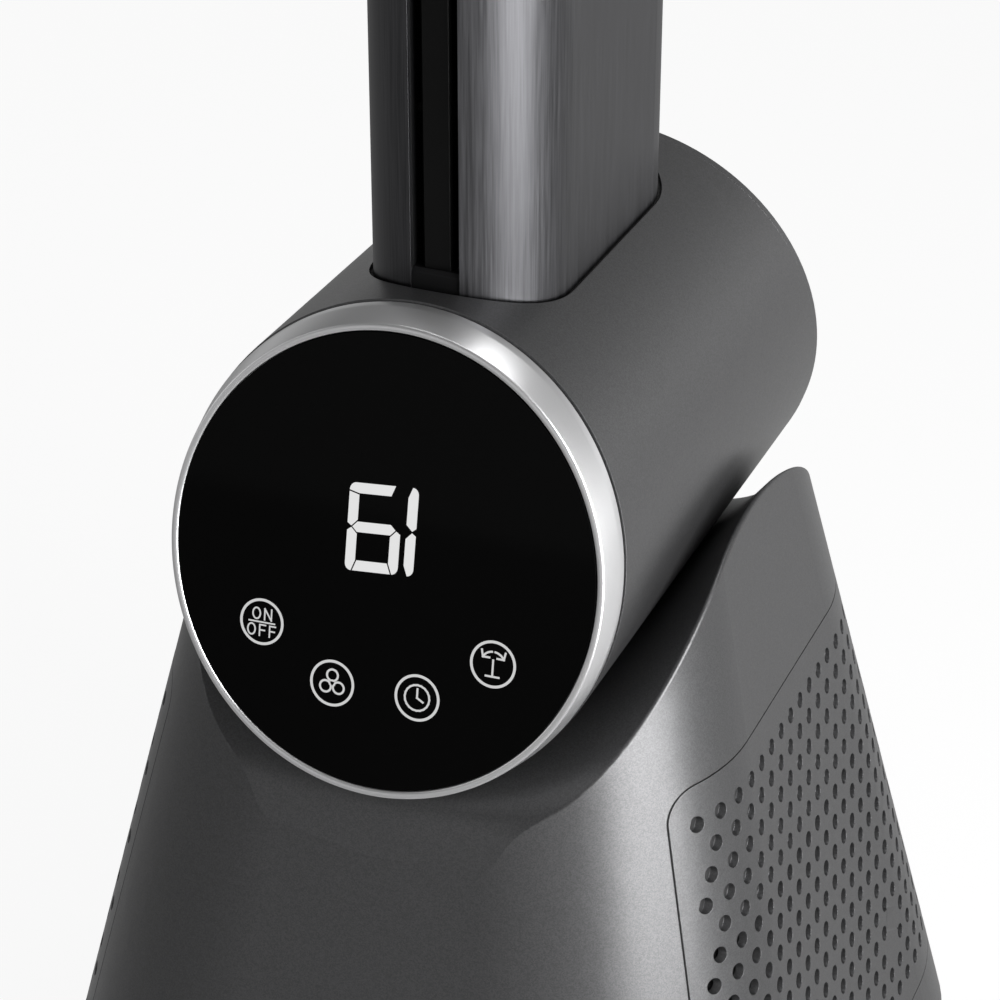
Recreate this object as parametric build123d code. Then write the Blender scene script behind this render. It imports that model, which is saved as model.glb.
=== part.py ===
from build123d import *
import os
from math import asin, cos, degrees, pi, radians, sin, sqrt, tan

# Bladeless tower fan: a flared base with perforated intake sides carries a horizontal drum in a
# saddle, and a tall slotted column stands in the drum.  Millimetres, floor at z = 0, +Z up, the
# front with the round touch display faces -Y, and the origin is under the middle of the base.

# ---------------------------------------------------------------- driving dimensions
# overall
AXIS_HEIGHT = 268.0            # floor to the drum's axis
TOTAL_HEIGHT = 1010.0          # floor to the top of the column's cap

# clearances
TOUCH_GAP = 0.3                # rigid pieces of different bodies, facing each other
FIT_GAP = 0.05                 # radial running clearance of a shaft in its bore
SLIP_GAP = 0.2                 # pieces of one body that slide together on assembly
SADDLE_GAP = 0.6               # drum to saddle
SEAM_GAP = 0.45                # visible joint line round a grille

# base body, its half sizes taken level with the drum's axis
BASE_HALF_WIDTH = 77.6
BASE_HALF_DEPTH = 85.1
BASE_CORNER = 53.7
SIDE_SLOPE = 0.231             # outward per mm down, at the sides
FRONT_SLOPE = 0.252            # outward per mm down, at front and back
CORNER_SLOPE = 0.12            # growth of the corner radius per mm down
BASE_BOTTOM = 15.0
BASE_WALL = 3.0
HOUSING_POST_RADIUS = 6.4
HOUSING_POST_HEIGHT = 21.0     # of the corner posts that the pan is screwed to

# saddle
RIM_ANGLE = 53.5               # half angle of the cradle arc amidships, from straight down
RIM_REACH = 100.0              # from the middle to where the cradle arc has run out
FLARE_START = 101.0            # from the middle to where the saddle turns down at front and back
FLARE_SLOPE = 2.9              # fall per mm beyond that
FLARE_BEND = 3.0               # softness of the turn
FLARE_END = 111.0              # just outside the base's front face at the lip
LIP_ROUND = 1.0

# drum
DRUM_RADIUS = 70.0
DRUM_WALL = 3.0
DRUM_FRONT = 98.0              # middle of the base to the display face, on the axis
DRUM_REAR = 95.0
FRONT_LEAN = 14.7              # degrees that the display face leans back
REAR_LEAN = 9.2
REAR_CAP_THICK = 3.0
REAR_SPIGOT_DEPTH = 10.0
REAR_SPIGOT_WALL = 2.4
TILT_RANGE = 10.0              # degrees each way

# display
GLASS_RADIUS = 65.3
GLASS_THICK = 2.0
GLASS_RECESS = 0.4
BEZEL_LIP = 67.3               # outer radius of the flat front lip
BEZEL_RADIUS = 69.6
BEZEL_BEVEL = 8.0              # depth of the bevel
BEZEL_DEPTH = 11.0             # depth of the whole visible ring
BEZEL_SEAM = 0.8               # dark gap between the ring and the drum
SPIGOT_RADIUS = 66.6
SPIGOT_DEPTH = 18.0
BEZEL_BORE = 61.8
BOARD_RADIUS = 59.0
BOARD_THICK = 1.6
CARRIER_THICK = 3.4
TOUCH_RADIUS = 5.2
TOUCH_OUTER = (36.5, -23.3)    # key centres on the glass, across and up
TOUCH_INNER = (13.5, -37.5)
DIGITS_WIDTH = 34.0
DIGITS_HEIGHT = 32.0
DIGITS_UP = 10.4

# column
COLUMN_WIDTH = 60.0
COLUMN_STRAIGHT = 69.0         # flat length of the sides, front to back
COLUMN_SHIFT = 5.5             # column's middle behind the base's middle
COLUMN_FOOT = 38.0             # foot of the column above the drum's axis
COLUMN_SCREW_UP = 9.0          # screws above the column's foot
SKIN_WALL = 1.6
DUCT_WALL = 1.8
HOLE_GAP = 1.2                 # column to the drum's opening
SLOT_HALF = 7.5
SPINE_HALF = 6.0
VANE_HALF = 4.7
VANE_SETBACK = 2.0
VANE_DEPTH = 26.0
VANE_TAIL = 1.2
LIP_DEPTH = 14.0
LIP_THICK = 1.6
WEB_PITCH = 82.0
WEB_THICK = 2.5
SLOT_FOOT_TOP = 75.0           # top of the slot's foot block above the drum's axis
SLOT_PLUG = 22.0
CAP_THICK = 6.0
CAP_PLUG = 9.0
CAP_ROUND = 2.5

# air neck between the base and the drum
NECK_WIDTH = 38.0
NECK_LENGTH = 88.0
NECK_WINDOW_WIDTH = 33.0
NECK_WINDOW_LENGTH = 71.0
CLAMP_THICK = 3.0
CLAMP_HALF_WIDTH = 26.0
CLAMP_LENGTH = 116.0
CLAMP_SCREW_X = 6.0
CLAMP_SCREW_Y = 39.8
PLENUM_WALL = 2.4
PAD_LENGTH = 60.0
PAD_INNER = 41.5               # nearest and farthest edge of a glide pad from the middle
PAD_OUTER = 48.5
PAD_DEPTH = 1.6

# grilles and filters
GRILLE_TOP = 70.5              # below the drum's axis
GRILLE_BOTTOM = 41.0           # above the floor
GRILLE_HALF = 79.0             # half length at the top edge
GRILLE_SLOPE = 0.18
GRILLE_CORNER = 12.0
GRILLE_THICK = 2.6
GRILLE_LAP = 5.0
GRILLE_BORDER = 8.0
HOLE_RADIUS = 2.5
HOLE_PITCH = 9.6
HOLE_FIRST_ROW = 12.0          # first row of holes below the grille's top edge
HOLE_MARGIN = 7.5
BLIND_ROWS = 5
BLIND_DEPTH = 1.4
FILTER_THICK = 4.0

# base pan and foot
PAN_BOTTOM = 20.0
PAN_THICK = 3.0
FOOT_RADIUS = 112.0
FOOT_BOTTOM = 3.0
FOOT_TOP = 12.0
BALLAST_RADIUS = 99.5
BALLAST_THICK = 5.0
BALLAST_HOLE = 27.0
PAD_FOOT_RADIUS = 6.0
PAD_FOOT_CIRCLE = 105.5
PAD_FOOT_COUNT = 6
SPINDLE_RADIUS = 15.0
SPINDLE_BORE = 10.5
SPINDLE_FLANGE = 24.0
SPINDLE_FLANGE_THICK = 2.5
BUSH_RADIUS = 25.0
BUSH_HEIGHT = 20.0
CLIP_THICK = 2.0
CLIP_GROOVE = 0.8
CLIP_RADIUS = 18.5
GLIDE_INNER = 86.0
GLIDE_OUTER = 94.0

# swing drive
GEAR_MODULE = 1.5
RING_TEETH = 48
PINION_TEETH = 12
GEAR_THICK = 5.0
GEAR_BACKLASH = 0.25
TOOTH_ADDENDUM = 0.9           # tooth height above and below the pitch circle, in modules
TOOTH_DEDENDUM = 1.15
PRESSURE_ANGLE = 20.0
SWING_SHAFT_RADIUS = 2.5
SWING_MOTOR_RADIUS = 17.5
SWING_MOTOR_OFFSET = 10.0
SWING_MOTOR_HEIGHT = 16.0
SWING_EAR_REACH = 7.0          # how far the motor's two ears stick out
SWING_EAR_THICK = 1.5
SWING_EAR_HOLE = 3.0           # ear's screw hole from the motor's can

# blower
POST_CIRCLE = 78.0
POST_RADIUS = 4.5
SHROUD_BOTTOM = 66.0
THROAT_TOP = 73.0
THROAT_RADIUS = 46.0
SHROUD_TOP = 112.0
SHROUD_RADIUS = 71.0
SHROUD_WALL = 2.2
FLANGE_THICK = 3.0
FLANGE_RADIUS = 83.0
BLADE_COUNT = 9
BLADE_THICK = 1.8
BLADE_GAP = 1.2
IMPELLER_BOTTOM = 75.0
IMPELLER_TOP = 110.0
IMPELLER_NOSE = 14.0
IMPELLER_HUB = 42.0
HUB_HOLLOW = 18.0              # depth of the bowl in the blower wheel's back
DIFFUSER_TOP = 152.0
CUP_RADIUS = 33.0
CUP_WALL = 2.5
DUCT_PORT_WIDTH = 92.0         # top end of the air duct, under the saddle
DUCT_PORT_CORNER = 14.0
DUCT_PORT_LAP = 12.0           # how much longer than the tilt clamp it is
STATOR_VANES = 9
SHAFT_RADIUS = 3.0
SHAFT_BOTTOM = 66.0
MOTOR_RADIUS = 28.0
MOTOR_BOTTOM = 119.0
MOTOR_HEIGHT = 26.0
MOTOR_SHELL = 1.6
MOTOR_PLATE = 4.0
BEARING_RADIUS = 8.0
NUT_RADIUS = 5.5               # to the nut's corners
NUT_THICK = 5.0
ROTOR_RADIUS = 15.0
STATOR_INNER = 16.0

# electrics
INLET_WIDTH = 26.0
INLET_HEIGHT = 20.0
INLET_DEPTH = 24.0
INLET_FACE = 141.0             # front of the inlet behind the middle
INLET_CENTRE = 52.0            # its height
RECESS_WIDTH = 18.6
RECESS_HEIGHT = 9.0
RECESS_DEPTH = 10.0
PIN_RADIUS = 1.2
PIN_SPREAD = 8.6
POWER_BOARD_LENGTH = 70.0
POWER_BOARD_WIDTH = 38.0
POWER_BOARD_Y = 96.0

# screws
SCREW_RADIUS = 1.5
SCREW_HEAD = 2.9
SCREW_HEAD_THICK = 2.2
SMALL_HEAD = 2.5
SHORT_SCREW = 5.5              # length of the short screws' shanks

# ---------------------------------------------------------------- values that follow
COLUMN_FOOT_Z = AXIS_HEIGHT + COLUMN_FOOT
COLUMN_TOP = TOTAL_HEIGHT - CAP_THICK
COLUMN_NOSE = COLUMN_SHIFT - COLUMN_STRAIGHT / 2          # y of the front arc's centre
PAN_TOP = PAN_BOTTOM + PAN_THICK
BUSH_TOP = PAN_BOTTOM + BUSH_HEIGHT
GEAR_DISTANCE = GEAR_MODULE * (RING_TEETH + PINION_TEETH) / 2
MOTOR_TOP = MOTOR_BOTTOM + MOTOR_HEIGHT
SADDLE_RADIUS = DRUM_RADIUS + SADDLE_GAP
SADDLE_UNDER = SADDLE_RADIUS + BASE_WALL
CLAMP_INNER = SADDLE_UNDER + TOUCH_GAP
CLAMP_OUTER = CLAMP_INNER + CLAMP_THICK
COLUMN_INNER = COLUMN_WIDTH - 2 * SKIN_WALL
DUCT_WIDTH = COLUMN_INNER - 2 * SLIP_GAP
CARRIER_RADIUS = BEZEL_BORE - SLIP_GAP
LONG = 400.0                   # longer than the base in any direction, for cutting tools


def box(x, y, z):
    """A block between the given pairs of coordinates."""
    block = Box(x[1] - x[0], y[1] - y[0], z[1] - z[0], align=(Align.MIN, Align.MIN, Align.MIN))
    return Pos(x[0], y[0], z[0]) * block


def post(radius, z, x=0.0, y=0.0):
    """An upright cylinder between two heights."""
    return Pos(x, y, z[0]) * Cylinder(radius, z[1] - z[0], align=(Align.CENTER, Align.CENTER, Align.MIN))


def tube(outer, inner, z, x=0.0, y=0.0):
    """An upright tube between two heights."""
    return post(outer, z, x, y) - post(inner, (z[0] - 1, z[1] + 1), x, y)


def lying(radius, y):
    """A cylinder along the drum's axis between two y positions."""
    placed = Plane(origin=(0, y[0], AXIS_HEIGHT), x_dir=(1, 0, 0), z_dir=(0, 1, 0))
    return placed * Cylinder(radius, y[1] - y[0], align=(Align.CENTER, Align.CENTER, Align.MIN))


def around(count, radius, start=0.0):
    """Positions on a circle, as x, y and the angle in degrees."""
    for index in range(count):
        angle = start + 360.0 * index / count
        yield radius * cos(radians(angle)), radius * sin(radians(angle)), angle


def stadium(width, straight, z, y=0.0):
    """An upright prism with round ends at front and back."""
    outline = Pos(0, y, z[0]) * SlotCenterToCenter(straight, width, rotation=90)
    return extrude(outline, z[1] - z[0])


def turned(points, z_axis=0.0):
    """A solid turned about the upright axis from radius and height points."""
    outline = make_face(Plane.XZ * Polyline(*points, close=True))
    return Pos(0, z_axis, 0) * revolve(outline, Axis.Z)


def merged(pieces):
    """One shape that holds all the pieces of a group."""
    return Compound(children=[piece.solid() for piece in pieces])


# ---------------------------------------------------------------- base body
def base_section(z, inset):
    """Plan outline of the base at a height, moved in by inset."""
    drop = AXIS_HEIGHT - z
    half_x = BASE_HALF_WIDTH + SIDE_SLOPE * drop - inset
    half_y = BASE_HALF_DEPTH + FRONT_SLOPE * drop - inset
    corner = BASE_CORNER + CORNER_SLOPE * drop - inset
    return Pos(0, 0, z) * RectangleRounded(2 * half_x, 2 * half_y, corner)


def base_form(inset, z_low, z_high):
    """The flared base as a solid, between two heights."""
    return loft([base_section(z_low, inset), base_section(z_high, inset)], ruled=True)


def flare_drop(y, offset):
    """How far the saddle has turned down at one place along the drum, as a hyperbola."""
    past = abs(y) - FLARE_START + offset * (sqrt(1 + FLARE_SLOPE ** 2) - 1) / FLARE_SLOPE
    return FLARE_SLOPE / 2 * (past + sqrt(past ** 2 + FLARE_BEND ** 2))


def saddle_section(y, offset):
    """The saddle groove's outline at one place along the drum."""
    half = radians(max(RIM_ANGLE * (1 - (y / RIM_REACH) ** 2), 2.0))
    radius = SADDLE_RADIUS + offset + flare_drop(y, offset)
    reach = 1.5 * BASE_HALF_WIDTH + BASE_HALF_DEPTH / 5
    rise = (reach - radius * sin(half)) * tan(half) - radius * cos(half)
    top = 2 * BASE_HALF_WIDTH
    left = (-radius * sin(half), -radius * cos(half))
    right = (radius * sin(half), -radius * cos(half))
    arc = ThreePointArc(left, (0, -radius), right)
    sides = Polyline(right, (reach, rise), (reach, top), (-reach, top), (-reach, rise), left)
    placed = Plane(origin=(0, y, AXIS_HEIGHT), x_dir=(1, 0, 0), z_dir=(0, -1, 0))
    return placed * make_face(arc + sides)


def saddle_groove(offset=0.0):
    """Everything above the saddle's surface: an arc under the drum that turns down at both ends."""
    count = 24
    places = [-FLARE_END * cos(pi * step / count) for step in range(count + 1)]
    middle = loft([saddle_section(y, offset) for y in places])
    return middle + end_relief(-FLARE_END, offset) + end_relief(FLARE_END, offset)


def end_relief(y, offset):
    """The groove carried straight on past the base at one end."""
    return extrude(saddle_section(y, offset), amount=LONG / 8, dir=(0, y / abs(y), 0))


def grille_outline(side, shrink, depth):
    """A prism across the base with the grille's outline, smaller all round by shrink."""
    top = AXIS_HEIGHT - GRILLE_TOP - shrink
    bottom = GRILLE_BOTTOM + shrink
    upper = GRILLE_HALF - shrink
    lower = upper + GRILLE_SLOPE * (top - bottom)
    corner = max(GRILLE_CORNER - shrink, 1.0)
    placed = Plane(origin=(0, 0, 0), x_dir=(0, 1, 0), z_dir=(1, 0, 0))
    outline = Polyline((-lower, bottom), (lower, bottom), (upper, top), (-upper, top), close=True)
    face = fillet(make_face(outline).vertices(), corner)
    return extrude(placed * face, amount=side * depth)


def base_layer(outer, inner):
    """A thin layer of the base's form between two depths below its surface."""
    z = (BASE_BOTTOM + 5, AXIS_HEIGHT - GRILLE_TOP + 30)
    return base_form(outer, *z) - base_form(inner, z[0] - 1, z[1] + 1)


def housing_posts():
    """Four screw posts inside the corners of the base."""
    x, y = pan_screw_place()
    return [(sx * x, sy * y) for sx in (-1, 1) for sy in (-1, 1)]


def pan_screw_place():
    """Screw position in the corner of the base, just inside its wall."""
    drop = AXIS_HEIGHT - PAN_TOP
    corner = BASE_CORNER + CORNER_SLOPE * drop
    reach = (corner - 3 * SCREW_HEAD) * cos(radians(45))
    x = BASE_HALF_WIDTH + SIDE_SLOPE * drop - corner + reach
    y = BASE_HALF_DEPTH + FRONT_SLOPE * drop - corner + reach
    return x, y


def glide_pad_form(grow):
    """The two curved glide pads under the drum, or their pockets when grown."""
    shell = lying(SADDLE_RADIUS + PAD_DEPTH, (-PAD_LENGTH / 2 - grow, PAD_LENGTH / 2 + grow))
    shell = shell - lying(SADDLE_RADIUS - TOUCH_GAP, (-PAD_LENGTH, PAD_LENGTH))
    low = AXIS_HEIGHT - 2 * DRUM_RADIUS
    right = shell & box((PAD_INNER - grow, PAD_OUTER + grow), (-LONG, LONG), (low, AXIS_HEIGHT))
    return right, mirror(right, Plane.YZ)


def port_window():
    """The hole in the saddle that the drum's neck moves in."""
    swing = radians(TILT_RANGE + 1) + asin(NECK_WIDTH / 2 / DRUM_RADIUS)
    width = 2 * SADDLE_RADIUS * sin(swing)
    outline = RectangleRounded(width, NECK_LENGTH + 4 * TOUCH_GAP, NECK_WIDTH / 2 - 1)
    return extrude(Pos(0, 0, AXIS_HEIGHT - LONG / 3) * outline, LONG / 3)


def inlet_opening():
    """The hole in the base's back wall for the mains inlet."""
    half_x = INLET_WIDTH / 2 + SLIP_GAP
    half_z = INLET_HEIGHT / 2 + SLIP_GAP
    z = (INLET_CENTRE - half_z, INLET_CENTRE + half_z)
    return box((-half_x, half_x), (INLET_FACE - INLET_DEPTH, INLET_FACE + LONG / 10), z)


def saddle_rim(body):
    """The sharp edge where the saddle's surface meets the base's sides."""
    high = [edge for edge in body.edges() if edge.bounding_box().min.Z > BASE_BOTTOM + 1]
    return [edge for edge in high if edge.length < 2 * FLARE_END]


def make_base_housing():
    """The painted outer shell with its saddle, open below."""
    outer = base_form(0.0, BASE_BOTTOM, AXIS_HEIGHT + 30) - saddle_groove()
    outer = fillet(saddle_rim(outer), LIP_ROUND)
    cavity = base_form(BASE_WALL, BASE_BOTTOM - 1, AXIS_HEIGHT + 31) - saddle_groove(BASE_WALL)
    shell = outer - cavity
    for x, y in housing_posts():
        column = post(HOUSING_POST_RADIUS, (PAN_TOP, PAN_TOP + HOUSING_POST_HEIGHT), x, y) & outer
        shell = shell + (column - post(SCREW_RADIUS, (0, PAN_TOP + 14), x, y))
    for side in (-1, 1):
        shell = shell - grille_outline(side, 0.0, LONG / 2)
    for pocket in glide_pad_form(0.0):
        shell = shell - pocket
    return shell - port_window() - inlet_opening()


def grille_rows():
    """Height and hole positions of each row, top row first."""
    row_step = HOLE_PITCH * sin(radians(60))
    top = AXIS_HEIGHT - GRILLE_TOP
    count = int((top - HOLE_FIRST_ROW - GRILLE_BOTTOM - HOLE_MARGIN) / row_step) + 1
    for row in range(count):
        z = top - HOLE_FIRST_ROW - row * row_step
        half = GRILLE_HALF + GRILLE_SLOPE * (top - z) - HOLE_MARGIN
        shift = 0.5 * HOLE_PITCH if row % 2 == 0 else 0.0
        reach = int((half - shift) / HOLE_PITCH)
        places = [shift + k * HOLE_PITCH for k in range(reach + 1)]
        yield row, z, sorted({round(sign * y, 4) for y in places for sign in (-1, 1)})


def surface_x(y, z):
    """Half width of the base at a place on its side, rounded corners included."""
    drop = AXIS_HEIGHT - z
    corner = BASE_CORNER + CORNER_SLOPE * drop
    past = max(abs(y) - (BASE_HALF_DEPTH + FRONT_SLOPE * drop - corner), 0.0)
    return BASE_HALF_WIDTH + SIDE_SLOPE * drop - corner + sqrt(corner ** 2 - past ** 2)


def grille_drills():
    """Round bars into the right side, short for the blind rows and long for the others."""
    bars = []
    for row, z, places in grille_rows():
        for y in places:
            surface = surface_x(y, z)
            start = surface - BLIND_DEPTH if row < BLIND_ROWS else surface - 6 * GRILLE_THICK
            placed = Plane(origin=(start, y, z), z_dir=(1, 0, 0))
            upright = (Align.CENTER, Align.CENTER, Align.MIN)
            bars.append(placed * Cylinder(HOLE_RADIUS, 9 * GRILLE_THICK, align=upright))
    return bars


def make_right_grille():
    """The perforated intake panel of the right side, with a lap behind the edge of its window."""
    back = BASE_WALL + GRILLE_THICK
    panel = base_layer(0.0, back) & grille_outline(1, SEAM_GAP, LONG / 2)
    panel = panel - (base_layer(GRILLE_THICK, back + 1) & grille_outline(1, GRILLE_BORDER, LONG / 2))
    lap = base_layer(BASE_WALL, back) & grille_outline(1, -GRILLE_LAP, LONG / 2)
    lap = lap - grille_outline(1, 0.5 * GRILLE_BORDER, LONG / 2)
    return panel - grille_drills() + lap


def make_right_filter():
    """The dust filter pad behind the right grille."""
    depth = BASE_WALL + GRILLE_THICK
    return base_layer(depth, depth + FILTER_THICK) & grille_outline(1, 2 * SEAM_GAP, LONG / 2)


# ---------------------------------------------------------------- foot and swing drive
def make_foot_disc():
    """The round foot that stays still on the floor."""
    disc = post(FOOT_RADIUS, (FOOT_BOTTOM, FOOT_TOP))
    disc = fillet(disc.edges().group_by(Axis.Z)[-1], 2.0)
    pocket = post(BALLAST_RADIUS + SLIP_GAP, (0, FOOT_BOTTOM + BALLAST_THICK))
    disc = disc - pocket - post(SPINDLE_BORE, (0, FOOT_TOP + 1))
    for x, y, _ in around(3, spindle_screw_circle()):
        disc = disc - post(SCREW_RADIUS, (0, FOOT_TOP + 1), x, y)
    for x, y, _ in around(3, ballast_screw_circle(), 60):
        disc = disc - post(SCREW_RADIUS, (0, FOOT_TOP - 1), x, y)
    return disc


def spindle_screw_circle():
    """Radius of the circle on which the spindle's screws stand."""
    return (SPINDLE_RADIUS + SPINDLE_FLANGE) / 2


def make_ballast():
    """The steel weight ring in the foot."""
    z = (FOOT_BOTTOM + TOUCH_GAP, FOOT_BOTTOM + BALLAST_THICK)
    ring = tube(BALLAST_RADIUS, BALLAST_HOLE, z)
    for x, y, _ in around(3, ballast_screw_circle(), 60):
        ring = ring - post(SCREW_RADIUS + SLIP_GAP, (0, FOOT_TOP), x, y)
    return ring


def ballast_screw_circle():
    """Radius of the circle of screws that hold the weight."""
    return (BALLAST_RADIUS + BALLAST_HOLE) / 2


def make_foot_pads():
    """Rubber pads under the rim of the foot."""
    pads = []
    for x, y, _ in around(PAD_FOOT_COUNT, PAD_FOOT_CIRCLE, 30):
        pads.append(fillet(post(PAD_FOOT_RADIUS, (0, FOOT_BOTTOM), x, y).edges().group_by(Axis.Z)[0], 0.6))
    return merged(pads)


def make_spindle():
    """The hollow pivot that the base turns on."""
    z_low = FOOT_TOP
    body = post(SPINDLE_FLANGE, (z_low, z_low + SPINDLE_FLANGE_THICK))
    body = body + post(SPINDLE_RADIUS, (z_low, clip_z()[1] + 2))
    body = body - post(SPINDLE_BORE, (0, LONG))
    body = body - tube(SPINDLE_RADIUS + 1, SPINDLE_RADIUS - CLIP_GROOVE, clip_z())
    for x, y, _ in around(3, spindle_screw_circle()):
        body = body - post(SCREW_RADIUS, (0, z_low + SPINDLE_FLANGE_THICK + 1), x, y)
    return body


def clip_z():
    """Heights between which the retaining clip lies, just over the bush."""
    return BUSH_TOP + TOUCH_GAP, BUSH_TOP + TOUCH_GAP + CLIP_THICK


def make_spindle_clip():
    """The open spring ring that keeps the base on its pivot."""
    ring = tube(CLIP_RADIUS, SPINDLE_RADIUS - CLIP_GROOVE, clip_z())
    return ring - box((-3, 3), (0, LONG), (0, LONG))


def make_foot_screws():
    """Screws up through the foot into the spindle's flange, and those that hold the weight."""
    z = (FOOT_BOTTOM + BALLAST_THICK, FOOT_TOP + SPINDLE_FLANGE_THICK)
    screws = [screw_up(x, y, z) for x, y, _ in around(3, spindle_screw_circle())]
    z = (FOOT_BOTTOM + TOUCH_GAP, FOOT_TOP - 1)
    screws = screws + [screw_up(x, y, z) for x, y, _ in around(3, ballast_screw_circle(), 60)]
    return merged(screws)


def screw_up(x, y, z):
    """A screw whose head is below and whose shank points up."""
    shank = post(SCREW_RADIUS, z, x, y)
    return shank + post(SCREW_HEAD, (z[0] - SCREW_HEAD_THICK, z[0]), x, y)


def make_glide_ring():
    """The slippery ring that the base runs on."""
    return tube(GLIDE_OUTER, GLIDE_INNER, (FOOT_TOP, PAN_BOTTOM - TOUCH_GAP))


def gear_face(teeth, start):
    """Plan of a spur gear with straight-sided teeth and a little backlash."""
    pitch_radius = GEAR_MODULE * teeth / 2
    tip = pitch_radius + TOOTH_ADDENDUM * GEAR_MODULE
    root = pitch_radius - TOOTH_DEDENDUM * GEAR_MODULE
    step = 2 * pi / teeth
    pitch_half = (pi * GEAR_MODULE / 2 - GEAR_BACKLASH) / 2 / pitch_radius
    flank = GEAR_MODULE * tan(radians(PRESSURE_ANGLE)) / pitch_radius
    tip_half = pitch_half - TOOTH_ADDENDUM * flank
    root_half = pitch_half + flank
    points = []
    for tooth in range(teeth):
        centre = radians(start) + tooth * step
        corners = ((root, -root_half), (tip, -tip_half), (tip, tip_half), (root, root_half))
        for radius, turn in corners:
            points.append((radius * cos(centre + turn), radius * sin(centre + turn)))
    return make_face(Polyline(*points, close=True))


def gear_z():
    """Heights between which the gears lie."""
    return FOOT_TOP, FOOT_TOP + GEAR_THICK


def make_ring_gear():
    """The fixed gear round the pivot."""
    z = gear_z()
    gear = extrude(Pos(0, 0, z[0]) * gear_face(RING_TEETH, -90.0), GEAR_THICK)
    return gear - post(SPINDLE_FLANGE + SLIP_GAP, (0, z[1] + 1))


def make_pinion():
    """The swing motor's gear, with a gap of a tooth facing the fixed gear's tooth."""
    z_low = gear_z()[0] + 2 * TOUCH_GAP
    start = 90.0 + 180.0 / PINION_TEETH
    plan = Pos(0, -GEAR_DISTANCE, z_low) * gear_face(PINION_TEETH, start)
    return extrude(plan, GEAR_THICK) - post(SWING_SHAFT_RADIUS, (0, LONG), 0, -GEAR_DISTANCE)


def make_swing_shaft():
    """The swing motor's shaft, on which the pinion sits."""
    low = gear_z()[0] + 2 * TOUCH_GAP
    return post(SWING_SHAFT_RADIUS, (low, PAN_TOP + SWING_MOTOR_HEIGHT * 0.6), 0, -GEAR_DISTANCE)


def swing_ear_x():
    """Distance of the swing motor's ear screws from the middle plane."""
    return SWING_MOTOR_RADIUS + SWING_EAR_HOLE


def swing_motor_y():
    """Middle of the swing motor's can, behind its offset shaft."""
    return -GEAR_DISTANCE - SWING_MOTOR_OFFSET


def make_swing_motor():
    """The geared motor that swings the base, with two ears."""
    y = swing_motor_y()
    z = (PAN_TOP, PAN_TOP + SWING_MOTOR_HEIGHT)
    can = post(SWING_MOTOR_RADIUS, z, 0, y)
    can = fillet(can.edges().group_by(Axis.Z)[-1], 1.5)
    ear_reach = SWING_MOTOR_RADIUS + SWING_EAR_REACH
    ears = box((-ear_reach, ear_reach), (y - 4, y + 4), (PAN_TOP, PAN_TOP + SWING_EAR_THICK))
    body = can + fillet(ears.edges().filter_by(Axis.Z), 3.5)
    for side in (-1, 1):
        body = body - post(SCREW_RADIUS + SLIP_GAP, (0, LONG), side * swing_ear_x(), y)
    bore = post(SWING_SHAFT_RADIUS + FIT_GAP, (0, z[0] + SWING_MOTOR_HEIGHT * 0.62), 0, -GEAR_DISTANCE)
    return body - bore


def make_chassis_screws():
    """The screws through the swing motor's ears and those of the power board."""
    place = swing_ear_x()
    screws = [screw_down(side * place, swing_motor_y(), PAN_TOP + SWING_EAR_THICK, 4.0) for side in (-1, 1)]
    seat = power_board_z() + BOARD_THICK
    return merged(screws + [screw_down(x, y, seat, SHORT_SCREW) for x, y in power_board_holes()])


def screw_down(x, y, seat, length):
    """A screw with its head on a seat and its shank pointing down."""
    shank = post(SCREW_RADIUS, (seat - length, seat), x, y)
    return shank + post(SCREW_HEAD, (seat, seat + SCREW_HEAD_THICK), x, y)


def make_base_pan():
    """The plate that closes the base and turns on the spindle."""
    inset = BASE_WALL + SLIP_GAP
    plate = base_form(inset, PAN_BOTTOM, PAN_TOP)
    plate = plate + post(BUSH_RADIUS, (PAN_BOTTOM, BUSH_TOP))
    plate = plate - post(SPINDLE_RADIUS + FIT_GAP, (0, LONG))
    plate = plate - post(SWING_SHAFT_RADIUS + 1.5, (0, LONG), 0, -GEAR_DISTANCE)
    for x, y in housing_posts():
        plate = plate - post(SCREW_RADIUS + SLIP_GAP, (0, LONG), x, y)
    for side in (-1, 1):
        plate = plate - post(SCREW_RADIUS, (0, LONG), side * swing_ear_x(), swing_motor_y())
    for x, y, _ in around(3, POST_CIRCLE, 30):
        plate = plate - post(SCREW_RADIUS + SLIP_GAP, (0, LONG), x, y)
    for x, y in power_board_holes():
        plate = plate + post(3.0, (PAN_TOP - 1, power_board_z()), x, y)
        plate = plate - post(SCREW_RADIUS, (PAN_TOP, LONG), x, y)
    return plate


def make_pan_screws():
    """Screws up through the pan into the base shell and the blower's posts."""
    screws = [screw_up(x, y, (PAN_BOTTOM, PAN_TOP + 12)) for x, y in housing_posts()]
    z = (PAN_BOTTOM, PAN_TOP + 9)
    return merged(screws + [screw_up(x, y, z) for x, y, _ in around(3, POST_CIRCLE, 30)])


# ---------------------------------------------------------------- electrics
def power_board_z():
    """Height of the power board's underside."""
    return PAN_TOP + 6.0


def power_board_holes():
    """Places of the screws in the corners of the power board."""
    half_x = POWER_BOARD_LENGTH / 2 - 4
    half_y = POWER_BOARD_WIDTH / 2 - 4
    return [(sx * half_x, POWER_BOARD_Y + sy * half_y) for sx in (-1, 1) for sy in (-1, 1)]


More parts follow.
